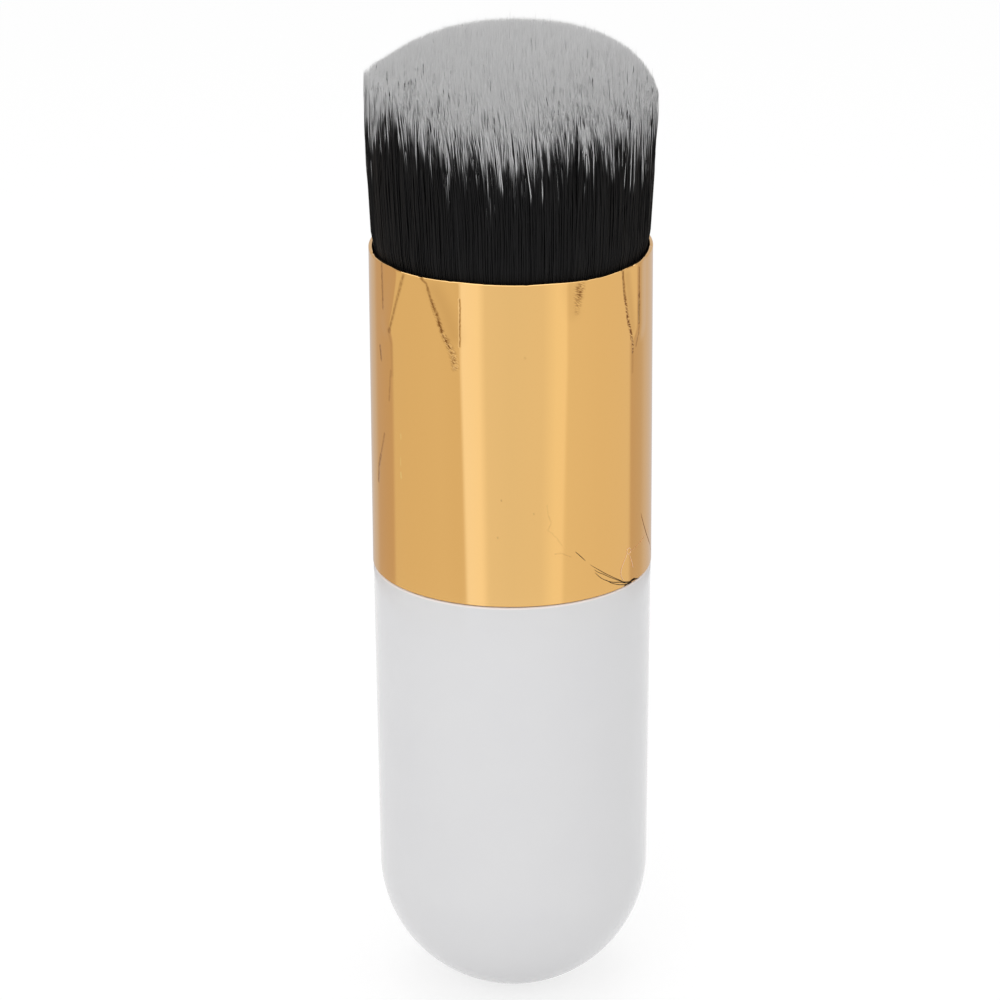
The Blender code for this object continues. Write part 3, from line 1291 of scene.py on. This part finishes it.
@dataclass
class FibreHead:
    """The bundle: fine strands from the potted roots, bulging over the lip and trimmed to a dome.

    Real fibres are under 0.1 mm thick. They are drawn a little thicker than that, and fewer. The tuples
    waxing, kinks and pale_shares hold one value for each ring of a strand, from its root to its tip.
    """

    count: int = 36000
    strand_radius: float = 0.055
    width_shares: tuple[float, float] = (0.8, 1.15)
    scatter: float = 0.25
    free_height: float = 1.2
    shoulder_height: float = 14.1
    dome_height: float = 5.63
    dome_flatness: float = 2.97
    dome_edge_roundness: float = 1.47
    dome_shift: float = 0.77
    dome_shift_fall: float = 3.36
    dome_tilt: float = 0.17
    corner_rise: float = 2.05
    corner_azimuth: float = -76.0
    corner_spread: float = 38.0
    corner_fall: float = 13.0
    tip_unevenness: float = 0.075
    stray_tip_share: float = 0.04
    stray_tip_reach: float = 0.14
    stray_tip_most: float = 0.9
    taper_length: float = 2.2
    rim_ring_depth: float = 0.2
    ring_room: float = 0.2
    black_room: float = 1.0
    pale_room: float = 0.5
    fade_lengths: tuple[float, float] = (1.0, 3.6)
    fade_below: float = 0.6
    pale_shares: tuple[float, ...] = (0.0, 0.0, 0.0, 0.0, 0.0, 0.80, 0.82, 1.0)
    tone_evenness: float = 3.0
    break_spread: float = 1.35
    early_share: float = 0.24
    early_drops: tuple[float, float] = (0.3, 3.2)
    late_share: float = 0.015
    late_rises: tuple[float, float] = (0.8, 4.5)
    least_pale: tuple[float, float] = (0.9, 2.2)
    wander_sideways: float = 0.34
    wander_outwards: float = 0.14
    wander_most: float = 2.5
    loose_reach: float = 0.12
    loosest_share: float = 0.02
    loosest_reach: float = 0.4
    turn_spread: float = 0.25
    combed_aside: float = 0.85
    bend: float = 2.6
    kinks: tuple[float, ...] = (0.0, 0.0, 0.02, 0.08, 0.05, 0.04, 0.03, 0.02)
    kink_room: float = 2.2
    waxing: tuple[float, ...] = (1.0, 1.0, 1.28, 1.25, 1.05, 0.93, 0.85, 0.0)
    crowding: float = 0.44
    clump_spacing: float = 0.62
    clump_crowd: float = 3.0
    clump_pull: float = 0.30
    pull_shares: tuple[float, float] = (0.2, 1.2)
    lean: float = 0.15
    clump_sway: float = 0.22
    clump_break_spread: float = 0.55
    root_depth: float = 0.5
    waist_depth: float = 0.95
    waist_room: float = 0.1
    waist_slope: float = 0.15
    slice_steps: int = 128
    batch: int = 2000
    golden_turn: float = math.pi * (3 - math.sqrt(5))
    seed: int = 11

    profile: Curve = (
        (-9.0, 12.44),
        (0.0, 12.50),
        (1.2, 12.74),
        (3.8, 12.86),
        (7.5, 13.10),
        (11.8, 13.25),
        (13.8, 13.23),
    )
    """Height above the rim, and the bundle's radius there."""

    break_levels: Curve = (
        (-180, 11.6),
        (-135, 11.6),
        (-100, 10.6),
        (-79, 10.8),
        (-67, 12.3),
        (-54, 13.3),
        (-44, 13.2),
        (-28, 12.2),
        (-14, 11.5),
        (-5, 10.6),
        (6, 11.5),
        (20, 12.6),
        (38, 12.7),
        (52, 11.2),
        (71, 11.1),
        (100, 11.3),
        (145, 11.6),
        (180, 11.6),
    )
    """Azimuth, and how high above the rim the black ends there on average."""

    def __post_init__(self) -> None:
        """Read the rim's height and the root slice's ends from the frame."""
        self.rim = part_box("ferrule")[1].z / MM
        self.slice_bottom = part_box("bristle_head")[0].z / MM
        self.binding_low, self.binding_high = (corner.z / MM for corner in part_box("root_binding"))
        self.slice_top = self.binding_low + self.binding_high - self.slice_bottom
        self.shoulder = self.rim + self.shoulder_height
        self.free = self.rim + self.free_height
        self.rng = np.random.default_rng(self.seed)

    def side(self, height: np.ndarray) -> np.ndarray:
        """The bundle's radius at a height."""
        return np.interp(height - self.rim, *zip(*self.profile))

    def spiral(self, count: int) -> np.ndarray:
        """Places that fill a circle of radius one from its middle out, a little denser at its edge.

        Args:
            count: How many places.

        Returns:
            The places, one a row.
        """
        order = np.arange(count)
        reach = ((order + 0.5) / count) ** self.crowding
        turn = order * self.golden_turn
        return np.stack([reach * np.cos(turn), reach * np.sin(turn)], axis=1)

    def clump(self, spots: np.ndarray) -> tuple[np.ndarray, np.ndarray]:
        """Group strands as clumps that lean and change colour together, a batch of strands at a time.

        Args:
            spots: Where strands stand in a circle of radius one.

        Returns:
            Where the clumps stand, and each strand's clump by its number.
        """
        spacing = self.clump_spacing / self.side(self.free)
        middles = self.spiral(int(self.clump_crowd / spacing**2))
        middles += self.rng.normal(0, self.scatter * spacing, middles.shape)
        numbers = [
            np.argmin(np.linalg.norm(spots[start : start + self.batch, None] - middles[None], axis=2), axis=1)
            for start in range(0, len(spots), self.batch)
        ]
        return middles, np.concatenate(numbers)

    def tips(self, spots: np.ndarray) -> np.ndarray:
        """Height of every strand's tip: a leaning dome with one high corner, trimmed a little unevenly.

        Args:
            spots: Where the tips stand in a circle of radius one.

        Returns:
            The heights in millimetres.
        """
        out = np.linalg.norm(spots, axis=1)[:, None]
        shift = np.array([self.dome_shift, 0.0]) / self.side(self.shoulder)
        across = np.linalg.norm(spots - shift * (1 - np.minimum(out, 1) ** self.dome_shift_fall), axis=1)
        rise = (1 - np.minimum(across, 1) ** self.dome_flatness) ** (1 / self.dome_edge_roundness)
        height = self.shoulder + self.dome_height * rise - self.dome_tilt * spots[:, 0]
        apart = np.degrees(azimuths(spots)) - self.corner_azimuth
        high = np.exp(-((np.minimum(np.abs(apart), 360 - np.abs(apart)) / self.corner_spread) ** 2))
        height += self.corner_rise * high * np.minimum(out[:, 0], 1) ** self.corner_fall
        height += self.rng.normal(0, self.tip_unevenness, len(spots))
        stray = self.rng.random(len(spots)) < self.stray_tip_share
        reach = np.minimum(self.rng.exponential(self.stray_tip_reach, len(spots)), self.stray_tip_most)
        return height + stray * reach

    def breaks(self, spots: np.ndarray, clump: np.ndarray, tips: np.ndarray) -> np.ndarray:
        """Height at which every strand turns pale: its clump's level, give or take, with some far from it.

        Args:
            spots: Where strands stand in a circle of radius one.
            clump: Each strand's clump by its number.
            tips: Height of every strand's tip.

        Returns:
            The heights in millimetres. Above the tip means a strand that is black all over.
        """
        level = self.rim + np.interp(np.degrees(azimuths(spots)), *zip(*self.break_levels))
        level += self.rng.normal(0, self.clump_break_spread, clump.max() + 1)[clump]
        kind = self.rng.random(len(spots))
        early = (kind < self.early_share) * self.rng.uniform(*self.early_drops, len(spots))
        late = (kind > 1 - self.late_share) * self.rng.uniform(*self.late_rises, len(spots))
        level += self.rng.normal(0, self.break_spread, len(spots)) - early
        return np.minimum(level, tips - self.rng.uniform(*self.least_pale, len(spots))) + late

    def strands(self) -> StrandSet:
        """Set out every strand from its root to its tip.

        Returns:
            The strands, from the middle of the bundle to its outside.
        """
        spots = self.spiral(self.count)
        spots += self.rng.normal(0, self.scatter / math.sqrt(self.count), spots.shape)
        middles, clump = self.clump(spots)
        leans = self.leans(spots, middles, clump)
        tips = self.tips(spots + leans / self.side(self.shoulder))
        breaks = self.breaks(spots, clump, tips)
        fade = self.rng.uniform(*self.fade_lengths, self.count)
        fade_low = np.minimum(breaks - self.fade_below * fade, tips - self.black_room)
        fade_high = np.minimum(breaks + (1 - self.fade_below) * fade, tips - self.pale_room)
        last = tips - self.ring_room
        heights = np.stack(
            [
                np.full(self.count, self.slice_top - self.root_depth),
                np.full(self.count, self.rim - self.rim_ring_depth),
                np.full(self.count, self.free),
                (self.free + fade_low) / 2,
                fade_low,
                fade_high,
                np.minimum(np.maximum(tips - self.taper_length, fade_high + self.ring_room), last),
                tips,
            ],
            axis=1,
        )
        radii = self.strand_radius * np.array(self.waxing)
        outwards = np.arctan2(spots[:, 1], spots[:, 0]) + math.pi / StrandSet.sides
        return StrandSet(
            self.paths(spots, heights, leans),
            radii * self.rng.uniform(*self.width_shares, self.count)[:, None],
            np.array(self.pale_shares) * (breaks < last)[:, None],
            self.rng.beta(self.tone_evenness, self.tone_evenness, self.count),
            outwards + self.rng.normal(0, self.turn_spread, self.count),
        )

    def leans(self, spots: np.ndarray, middles: np.ndarray, clump: np.ndarray) -> np.ndarray:
        """How far aside every tip is: drawn to its clump's middle, swayed with it, strayed and combed.

        Args:
            spots: Where strands stand in a circle of radius one.
            middles: Where the clumps stand.
            clump: Each strand's clump by its number.

        Returns:
            The tips' shifts in millimetres, one a row.
        """
        count = len(spots)
        pull = (middles[clump] - spots) * self.side(self.free) * self.clump_pull
        pull *= self.rng.uniform(*self.pull_shares, count)[:, None]
        sway = self.rng.normal(0, self.clump_sway, (len(middles), 2))[clump]
        out = spots / np.linalg.norm(spots, axis=1)[:, None]
        round_it = np.stack([-out[:, 1], out[:, 0]], axis=1)
        most = self.wander_most
        sideways, outwards = np.clip(self.rng.normal(0, 1, (2, count, 1)), -most, most)
        combed = self.combed_aside * np.clip(-spots[:, 1:], 0, 1)
        aside = round_it * (sideways * self.wander_sideways - combed)
        return pull + sway + aside + out * outwards * self.wander_outwards

    def paths(self, spots: np.ndarray, heights: np.ndarray, leans: np.ndarray) -> np.ndarray:
        """Bend every strand: it bulges over the lip, leans more and more towards its tip, and kinks a little.

        Args:
            spots: Where strands stand in a circle of radius one.
            heights: The heights of their rings.
            leans: How far aside their tips are, in millimetres.

        Returns:
            The middle of every ring of every strand.
        """
        count = len(spots)
        up = np.clip((heights - self.free) / (heights[:, -1:] - self.free), 0, 1) ** self.bend
        flat = spots[:, None, :] * self.side(heights)[..., None] + leans[:, None, :] * up[..., None]
        room = np.clip(np.diff(heights, axis=1, prepend=heights[:, :1]) / self.kink_room, 0, 1)
        flat += self.rng.normal(0, 1, flat.shape) * (np.array(self.kinks) * room)[..., None]
        loose = self.rng.uniform(0, self.loose_reach, count)
        loosest = self.rng.random(count) < self.loosest_share
        loose += loosest * self.rng.uniform(0, self.loosest_reach, count)
        widest = self.side(heights) + loose[:, None] * up
        flat *= np.minimum(1, widest / np.maximum(np.linalg.norm(flat, axis=2), LEAST_LENGTH))[..., None]
        flat[..., 0] += self.lean * up
        return np.concatenate([flat, heights[..., None]], axis=2)

    def slice_mesh(self) -> bpy.types.Mesh:
        """The slice of resin-soaked roots, with the waist that its thread pulls in.

        Returns:
            The closed mesh, in metres.
        """
        (_, radius), *_ = self.profile
        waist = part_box("root_binding")[1].x / MM - self.waist_depth
        low = self.binding_low - self.waist_room
        high = self.binding_high + self.waist_room
        outline = [
            (0, self.slice_bottom),
            (radius, self.slice_bottom),
            (radius, low - self.waist_slope),
            (waist, low),
            (waist, high),
            (radius, high + self.waist_slope),
            (radius, self.slice_top),
            (0, self.slice_top),
        ]
        return turned_mesh("root_slice", outline, self.slice_steps, closed=False)

    def build(self) -> list[bpy.types.Object]:
        """Make the root slice and every zone of strands.

        Returns:
            The slice and the zones.
        """
        finish = DyedNylon()
        material = finish.material()
        meshes = [self.slice_mesh()]
        every = self.strands()
        share = self.count // len(FibreZone)
        for place, zone in enumerate(FibreZone):
            chosen = slice(place * share, (place + 1) * share)
            meshes.append(every.part(chosen).build(zone.value, finish))
        return [hold(new_piece(mesh.name, mesh, material), Slot.FIBRE, "bristle_head") for mesh in meshes]


@dataclass(frozen=True)
class Strays:
    """Some stray fibres of one kind: their thickness and colour, and the places that each one passes."""

    name: str
    radius: float
    # The fade's two colours: the fibre's own colour with the gold's light painted in as a warm tint.
    fade_with_gold_light_hex: tuple[str, str]
    lines: tuple[Curve, ...]
    pale_share: float = 0.5

    def finish(self) -> DyedNylon:
        """The nylon's finish, with this kind's own colours."""
        return DyedNylon(f"{self.name}_nylon", fade=((0.0, self.fade_with_gold_light_hex[0]), (1.0, self.fade_with_gold_light_hex[1])))


@dataclass
class StrayFibres:
    """Loose fibres that the head has shed, clinging to the gold tube by its lower edge.

    The gold's light is painted into their colours as a warm tint, most in the thin and pale ones.
    """

    sides: int = 6
    steps: int = 8
    thinning: float = 0.7
    thinning_power: int = 4
    kinds: tuple[Strays, ...] = (
        Strays(
            "stray_dark_fibres",
            0.032,
            ("#1B1510", "#35281C"),
            (
                ((26.1, 47.73), (28.2, 47.26), (30.7, 46.66)),
                (
                    *((33.1, 46.15), (36.4, 45.6), (40.0, 45.01), (44.5, 44.35)),
                    *((48.7, 43.78), (52.0, 43.35), (56.3, 43.09)),
                ),
                ((56.3, 43.09), (59.5, 43.12), (61.5, 42.98), (63.5, 42.82)),
                (
                    *((35.1, 45.57), (37.1, 45.21), (39.8, 44.87), (43.3, 44.37)),
                    *((48.1, 43.77), (52.0, 43.3), (57.1, 42.86)),
                ),
                (
                    *((35.4, 45.26), (38.4, 44.6), (41.7, 44.12), (45.1, 43.77)),
                    *((49.3, 43.49), (54.1, 43.1), (62.1, 42.92)),
                ),
                ((41.1, 44.25), (44.5, 43.71), (49.4, 43.24), (54.1, 42.96), (57.9, 42.90)),
                ((52.0, 42.90), (55.6, 42.98), (58.7, 43.05), (60.5, 43.02)),
            ),
        ),
        Strays(
            "stray_thin_fibre",
            0.015,
            ("#7A5233", "#966B45"),
            (((65.9, 49.05), (67.9, 48.16), (71.9, 46.76), (77.2, 45.42), (84.6, 43.89)),),
        ),
        Strays(
            "stray_pale_fibres",
            0.022,
            ("#F2D2B2", "#F8DEC6"),
            (
                ((53.6, 46.34), (55.4, 46.45), (56.9, 46.10), (55.3, 45.85), (54.0, 46.10), (54.3, 46.40)),
                ((54.3, 46.04), (51.9, 45.33), (50.0, 44.58), (50.3, 43.96), (52.0, 43.45)),
                ((55.8, 45.74), (57.8, 44.81), (58.6, 44.25)),
            ),
        ),
        Strays(
            "stray_faint_fibre",
            0.014,
            ("#DDB187", "#E8BF99"),
            (((57.3, 46.02), (61.9, 46.17), (68.0, 46.38), (75.1, 46.79)),),
        ),
    )

    def __post_init__(self) -> None:
        """Read the tube's radius from the frame."""
        self.tube_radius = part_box("ferrule")[1].x / MM

    def thinned(self, radius: float, count: int) -> np.ndarray:
        """A fibre's radius at each point of its path, less towards both ends."""
        return radius * (1 - self.thinning * np.abs(np.linspace(-1, 1, count)) ** self.thinning_power)

    def build(self) -> list[bpy.types.Object]:
        """Lay the fibres on the tube.

        Returns:
            One piece for each kind of them.
        """
        pieces = []
        for kind in self.kinds:
            lines = [on_cylinder(line, self.tube_radius + kind.radius) for line in kind.lines]
            paths = [smooth_path(line, self.steps) for line in lines]
            widths = [self.thinned(kind.radius, len(path)) for path in paths]
            mesh = tube_mesh(kind.name, paths, widths, self.sides)
            finish = kind.finish()
            levels = np.full(len(mesh.vertices), kind.pale_share)
            finish.colour(mesh, levels, levels)
            pieces.append(hold(new_piece(kind.name, mesh, finish.material()), Slot.FIBRE))
        return pieces


@dataclass
class PottedRoots:
    """What holds the fibres inside the ferrule: wound thread, cast resin and the two rings of adhesive.

    Its field nodes holds the frame's CAD nodes by name.
    """

    nodes: dict[str, bpy.types.Object]
    thread_radius: float = 0.15
    thread_sides: int = 8
    layer_share: float = 1.8
    turns: int = 5
    steps_per_turn: int = 72
    crossing_steps: int = 6

    def __post_init__(self) -> None:
        """Read the binding's band from the frame."""
        low, high = (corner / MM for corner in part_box("root_binding"))
        self.low = low.z + self.thread_radius
        self.high = high.z - self.thread_radius
        self.outer = high.x - self.thread_radius

    def winding(self) -> np.ndarray:
        """The thread's path: up in one layer of turns, across to a second one over it, and down in that.

        Returns:
            The path's points in millimetres, one a row.
        """
        steps = self.turns * self.steps_per_turn
        angle = np.linspace(0, self.turns * math.tau, steps + 1)
        lap = np.stack([np.cos(angle), np.sin(angle)], axis=1)
        climb = (self.high - self.low) * np.linspace(0, 1, steps + 1)[:, None]
        up = np.hstack([(self.outer - self.layer_share * self.thread_radius) * lap, self.low + climb])
        down = np.hstack([self.outer * lap, self.high - climb])
        return np.vstack([up, down[self.crossing_steps :]])

    def build(self) -> list[bpy.types.Object]:
        """Wind the thread, and finish the cast pieces, whose CAD shapes stay.

        Returns:
            The thread and the cast pieces.
        """
        path = self.winding()
        widths = np.full(len(path), self.thread_radius)
        mesh = tube_mesh("binding_thread", [path], [widths], self.thread_sides)
        thread = new_piece("binding_thread", mesh, SpunPolyester().material())
        pieces = [hold(thread, Slot.THREAD, "root_binding")]
        # The adhesive is an epoxy too, filled and duller than the resin.
        adhesive = CastEpoxy("cured_adhesive", clear_hex="#D6CCA8", cloudy_hex="#E3DCC4", roughness=0.3)
        for finish, names in ((adhesive, GLUE_RINGS), (CastEpoxy("potting_resin"), ("root_resin",))):
            material = finish.material()
            for name in names:
                piece = self.nodes[name]
                piece.data.materials.clear()
                piece.data.materials.append(material)
                pieces.append(piece)
        return pieces


@dataclass
class PhotoView:
    """The photograph's viewpoint, fitted to the outlines of the ferrule and the handle."""

    target: tuple[float, float, float] = (-1.105, 0.0, 48.47)
    distance: float = 447.85
    elevation_deg: float = 20.31
    roll_deg: float = -0.31
    sensor: float = 36.0
    lens: float = 173.1
    near: float = 10.0
    far: float = 10000.0

    def build(self) -> list[bpy.types.Object]:
        """Place the camera and make it the scene's.

        Returns:
            The camera, in a list.
        """
        tilt = math.radians(self.elevation_deg)
        roll = math.radians(self.roll_deg)
        forward = Vector((0, math.cos(tilt), -math.sin(tilt)))
        level = Vector((1, 0, 0))
        upright = Vector((0, math.sin(tilt), math.cos(tilt)))
        right = math.cos(roll) * level + math.sin(roll) * upright
        up = math.cos(roll) * upright - math.sin(roll) * level
        data = bpy.data.cameras.new("photo_view")
        data.sensor_width = self.sensor
        data.lens = self.lens
        data.clip_start = self.near * MM
        data.clip_end = self.far * MM
        camera = bpy.data.objects.new("photo_view", data)
        turn = Matrix((right, up, -forward)).transposed().to_4x4()
        place = (Vector(self.target) - forward * self.distance) * MM
        camera.matrix_world = Matrix.Translation(place) @ turn
        bpy.context.scene.collection.objects.link(camera)
        bpy.context.scene.camera = camera
        return [camera]


@dataclass(frozen=True)
class WhiteSweep(Finish):
    """Matt white paper: white to the eye and in reflections, and it still takes the brush's soft shadow."""

    name: str = "white_paper_sweep"
    paper_hex: str = "#F2F2F2"
    glow_share: float = 0.72
    glow: float = 1.06

    def paint(self, tree: Tree, shader: bpy.types.Node) -> None:
        """Mix plain white into the paper for the camera and for reflections.

        Args:
            tree: The material's nodes.
            shader: Its Principled shader.
        """
        matt = {"Roughness": 1.0, "Specular IOR Level": 0.0}
        feed(tree, shader, {"Base Color": linear(self.paper_hex), **matt})
        path = add_node(tree, "LightPath")
        seen = add_node(
            tree,
            "Math",
            {"operation": "MAXIMUM"},
            {0: path.outputs["Is Camera Ray"], 1: path.outputs["Is Glossy Ray"]},
        )
        shown = add_node(
            tree,
            "Math",
            {"operation": "MAXIMUM"},
            {0: seen.outputs[0], 1: path.outputs["Is Transmission Ray"]},
        )
        share = add_node(tree, "Math", {"operation": "MULTIPLY"}, {0: shown.outputs[0], 1: self.glow_share})
        white = add_node(tree, "Emission", inputs={"Color": WHITE, "Strength": self.glow})
        mixed = add_node(
            tree, "MixShader", inputs={0: share.outputs[0], 1: shader.outputs[0], 2: white.outputs[0]}
        )
        feed(tree, tree.nodes["Material Output"], {"Surface": mixed.outputs[0]})


@dataclass(frozen=True)
class TentWall(Finish):
    """Fabric wall of a light tent: soft boxes shine through it at both sides of the camera.

    Its folds behind are duller. The fabric is drawn in towards its foot, so the bands in front lean to the
    middle there.
    """

    name: str = "light_tent_wall"
    middle: float = 0.5
    gather_mm: float = 33.0
    gather_share: float = 0.13
    gather_from_deg: float = 44.0
    gather_to_deg: float = 104.0
    bands: tuple[tuple[float, str], ...] = (
        (-180.0, "#D2CFD2"),
        (-141.0, "#CBC3BE"),
        (-134.0, "#C6B4A2"),
        (-109.0, "#C8B6A2"),
        (-105.5, "#DDD2BA"),
        (-60.0, "#E0D6C0"),
        (-40.5, "#DED3BC"),
        (-38.5, "#FFFFFF"),
        (-25.5, "#FFFDF6"),
        (-19.5, "#EBE7DC"),
        (0.0, "#E8E4D8"),
        (24.0, "#EAE5D8"),
        (35.0, "#F7F2E2"),
        (42.5, "#F8F2E2"),
        (44.5, "#E7DFCC"),
        (75.0, "#E4DBC8"),
        (106.0, "#E3DAC8"),
        (109.5, "#C8B8A6"),
        (126.0, "#C9BBAA"),
        (133.0, "#CFC6C0"),
        (180.0, "#D2CFD2"),
    )

    def paint(self, tree: Tree, shader: bpy.types.Node) -> None:
        """Shine by azimuth. The wall's own +X points at the camera, where the gradient is at its middle.

        Args:
            tree: The material's nodes.
            shader: Its Principled shader, which is removed.
        """
        place = add_node(tree, "TexCoord").outputs["Object"]
        turn = add_node(tree, "TexGradient", {"gradient_type": "RADIAL"}, {"Vector": place})
        height = add_node(tree, "SeparateXYZ", inputs={0: place})
        spread = add_node(
            tree,
            "MapRange",
            inputs={
                "Value": height.outputs["Z"],
                "From Max": self.gather_mm * MM,
                "To Min": 1 + self.gather_share,
            },
        )
        aside = add_node(tree, "Math", {"operation": "SUBTRACT"}, {0: turn.outputs["Fac"], 1: self.middle})
        off = add_node(tree, "Math", {"operation": "ABSOLUTE"}, {0: aside.outputs[0]})
        gathered = add_node(
            tree,
            "MapRange",
            inputs={
                "Value": off.outputs[0],
                "From Min": self.gather_from_deg / 360,
                "From Max": self.gather_to_deg / 360,
                "To Min": spread.outputs["Result"],
            },
        )
        spot = add_node(
            tree,
            "Math",
            {"operation": "MULTIPLY_ADD"},
            {0: aside.outputs[0], 1: gathered.outputs["Result"], 2: self.middle},
        )
        stops = [(azimuth / 360 + self.middle, shade) for azimuth, shade in self.bands]
        colour = add_node(tree, "ValToRGB", inputs={"Fac": spot.outputs[0]}, stops=stops)
        shine = add_node(tree, "Emission", inputs={"Color": colour.outputs["Color"], "Strength": 1.0})
        feed(tree, tree.nodes["Material Output"], {"Surface": shine.outputs[0]})
        tree.nodes.remove(shader)


@dataclass(frozen=True)
class Glow(Finish):
    """Soft box fabric that shines evenly."""

    strength: float = 1.0

    def paint(self, tree: Tree, shader: bpy.types.Node) -> None:
        """Shine plain white.

        Args:
            tree: The material's nodes.
            shader: Its Principled shader, which is removed.
        """
        shine = add_node(tree, "Emission", inputs={"Color": WHITE, "Strength": self.strength})
        feed(tree, tree.nodes["Material Output"], {"Surface": shine.outputs[0]})
        tree.nodes.remove(shader)


@dataclass
class Studio:
    """Plain white studio: paper floor, a tent that only reflections see, light all round and two lamps."""

    floor_half: float = 1500.0
    tent_radius: float = 110.0
    tent_height: float = 260.0
    tent_steps: int = 96
    sky_strength: float = 0.72
    key_azimuth_deg: float = -13.0
    key_elevation_deg: float = 35.0
    key_distance: float = 700.0
    key_width: float = 500.0
    key_watts: float = 0.95
    top_height: float = 600.0
    top_width: float = 500.0
    top_watts: float = 1.1
    roof_height: float = 170.0
    roof_radius: float = 109.0
    roof_steps: int = 64
    roof_strength: float = 1.5

    def build(self) -> list[bpy.types.Object]:
        """Lay the floor, raise the tent and light it.

        Returns:
            The floor, the tent and the lamps.
        """
        pieces = [self.lay_floor(), self.raise_tent(), self.stretch_roof()]
        self.light_sky()
        turn = math.radians(self.key_azimuth_deg)
        rise = math.radians(self.key_elevation_deg)
        away = Vector((math.sin(turn) * math.cos(rise), -math.cos(turn) * math.cos(rise), math.sin(rise)))
        above = Vector((0, 0, 1))
        pieces.append(self.hang("key_softbox", away, self.key_distance, self.key_width, self.key_watts))
        pieces.append(self.hang("top_softbox", above, self.top_height, self.top_width, self.top_watts))
        return pieces

    def lay_floor(self) -> bpy.types.Object:
        """A wide sheet of paper at the foot of the brush.

        Returns:
            The floor.
        """
        half = self.floor_half * MM
        spots = [(-half, -half, 0), (half, -half, 0), (half, half, 0), (-half, half, 0)]
        mesh = bpy.data.meshes.new("paper_floor")
        mesh.from_pydata(spots, [], [(0, 1, 2, 3)])
        floor = new_piece("paper_floor", mesh, WhiteSweep().material())
        return floor

    def raise_tent(self) -> bpy.types.Object:
        """A round wall that only shiny surfaces see, with its +X turned to the camera.

        Returns:
            The wall.
        """
        bm = bmesh.new()
        radius = self.tent_radius * MM
        turns = [math.tau * step / self.tent_steps for step in range(self.tent_steps)]
        lower, upper = (
            [bm.verts.new((radius * math.cos(turn), radius * math.sin(turn), height)) for turn in turns]
            for height in (0.0, self.tent_height * MM)
        )
        for step in range(self.tent_steps):
            after = (step + 1) % self.tent_steps
            bm.faces.new((lower[after], lower[step], upper[step], upper[after]))
        tent = new_piece("tent_wall", mesh_from(bm, "tent_wall"), TentWall().material())
        tent.rotation_euler.z = -math.pi / 2
        return self.show_to_reflections(tent)

    def stretch_roof(self) -> bpy.types.Object:
        """A bright round roof over the tent, which only edges that face up reflect.

        Returns:
            The roof.
        """
        bm = bmesh.new()
        bmesh.ops.create_circle(bm, cap_ends=True, radius=self.roof_radius * MM, segments=self.roof_steps)
        bmesh.ops.translate(bm, verts=bm.verts, vec=(0, 0, self.roof_height * MM))
        glow = Glow("tent_roof_light", self.roof_strength)
        return self.show_to_reflections(new_piece("tent_roof", mesh_from(bm, "tent_roof"), glow.material()))

    def show_to_reflections(self, piece: bpy.types.Object) -> bpy.types.Object:
        """Make a piece part of the studio that only reflections see.

        Args:
            piece: The piece.

        Returns:
            The same piece.
        """
        for ray in ("camera", "diffuse", "transmission", "volume_scatter", "shadow"):
            setattr(piece, f"visible_{ray}", False)
        return piece

    def light_sky(self) -> None:
        """Even light from all round, which the camera and reflections see as plain white."""
        world = bpy.data.worlds.new("white_sky")
        world.use_nodes = True
        tree = world.node_tree
        path = add_node(tree, "LightPath")
        strength = add_node(
            tree,
            "MapRange",
            inputs={"Value": path.outputs["Is Diffuse Ray"], "To Min": 1.0, "To Max": self.sky_strength},
        )
        feed(tree, tree.nodes["Background"], {"Color": WHITE, "Strength": strength.outputs["Result"]})
        bpy.context.scene.world = world

    def hang(
        self, name: str, away: Vector, distance: float, width: float, watts: float
    ) -> bpy.types.Object:
        """Hang a round soft box that neither the camera nor a reflection sees.

        Args:
            name: The lamp's name.
            away: The direction from the brush to the lamp.
            distance: How far away it hangs.
            width: Its diameter.
            watts: Its power.

        Returns:
            The lamp.
        """
        data = bpy.data.lights.new(name, "AREA")
        data.shape = "DISK"
        data.size = width * MM
        data.energy = watts
        lamp = bpy.data.objects.new(name, data)
        lamp.location = away * distance * MM
        lamp.rotation_euler = away.to_track_quat("Z", "Y").to_euler()
        lamp.visible_glossy = False
        lamp.visible_camera = False
        bpy.context.scene.collection.objects.link(lamp)
        return lamp


def corners(box: tuple[Vector, Vector]) -> list[list[float]]:
    """A box's two corners as plain lists of numbers."""
    return [list(corner) for corner in box]


def main() -> None:
    """Dress the brush from its handle to its fibres, set it in the studio and report every piece."""
    logging.basicConfig(level=logging.INFO, format="%(name)s: %(message)s")
    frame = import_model()
    bpy.context.scene.view_settings.view_transform = "Standard"
    brush = (Handle(), Ferrule(), PottedRoots(frame["nodes"]), FibreHead(), StrayFibres())
    for part in (*brush, Studio(), PhotoView()):
        for piece in part.build():
            LOG.info("%s: %s, a %s", type(part).__name__, piece.name, piece.type.lower())
    bpy.context.view_layer.update()


if __name__ == "__main__":
    main()
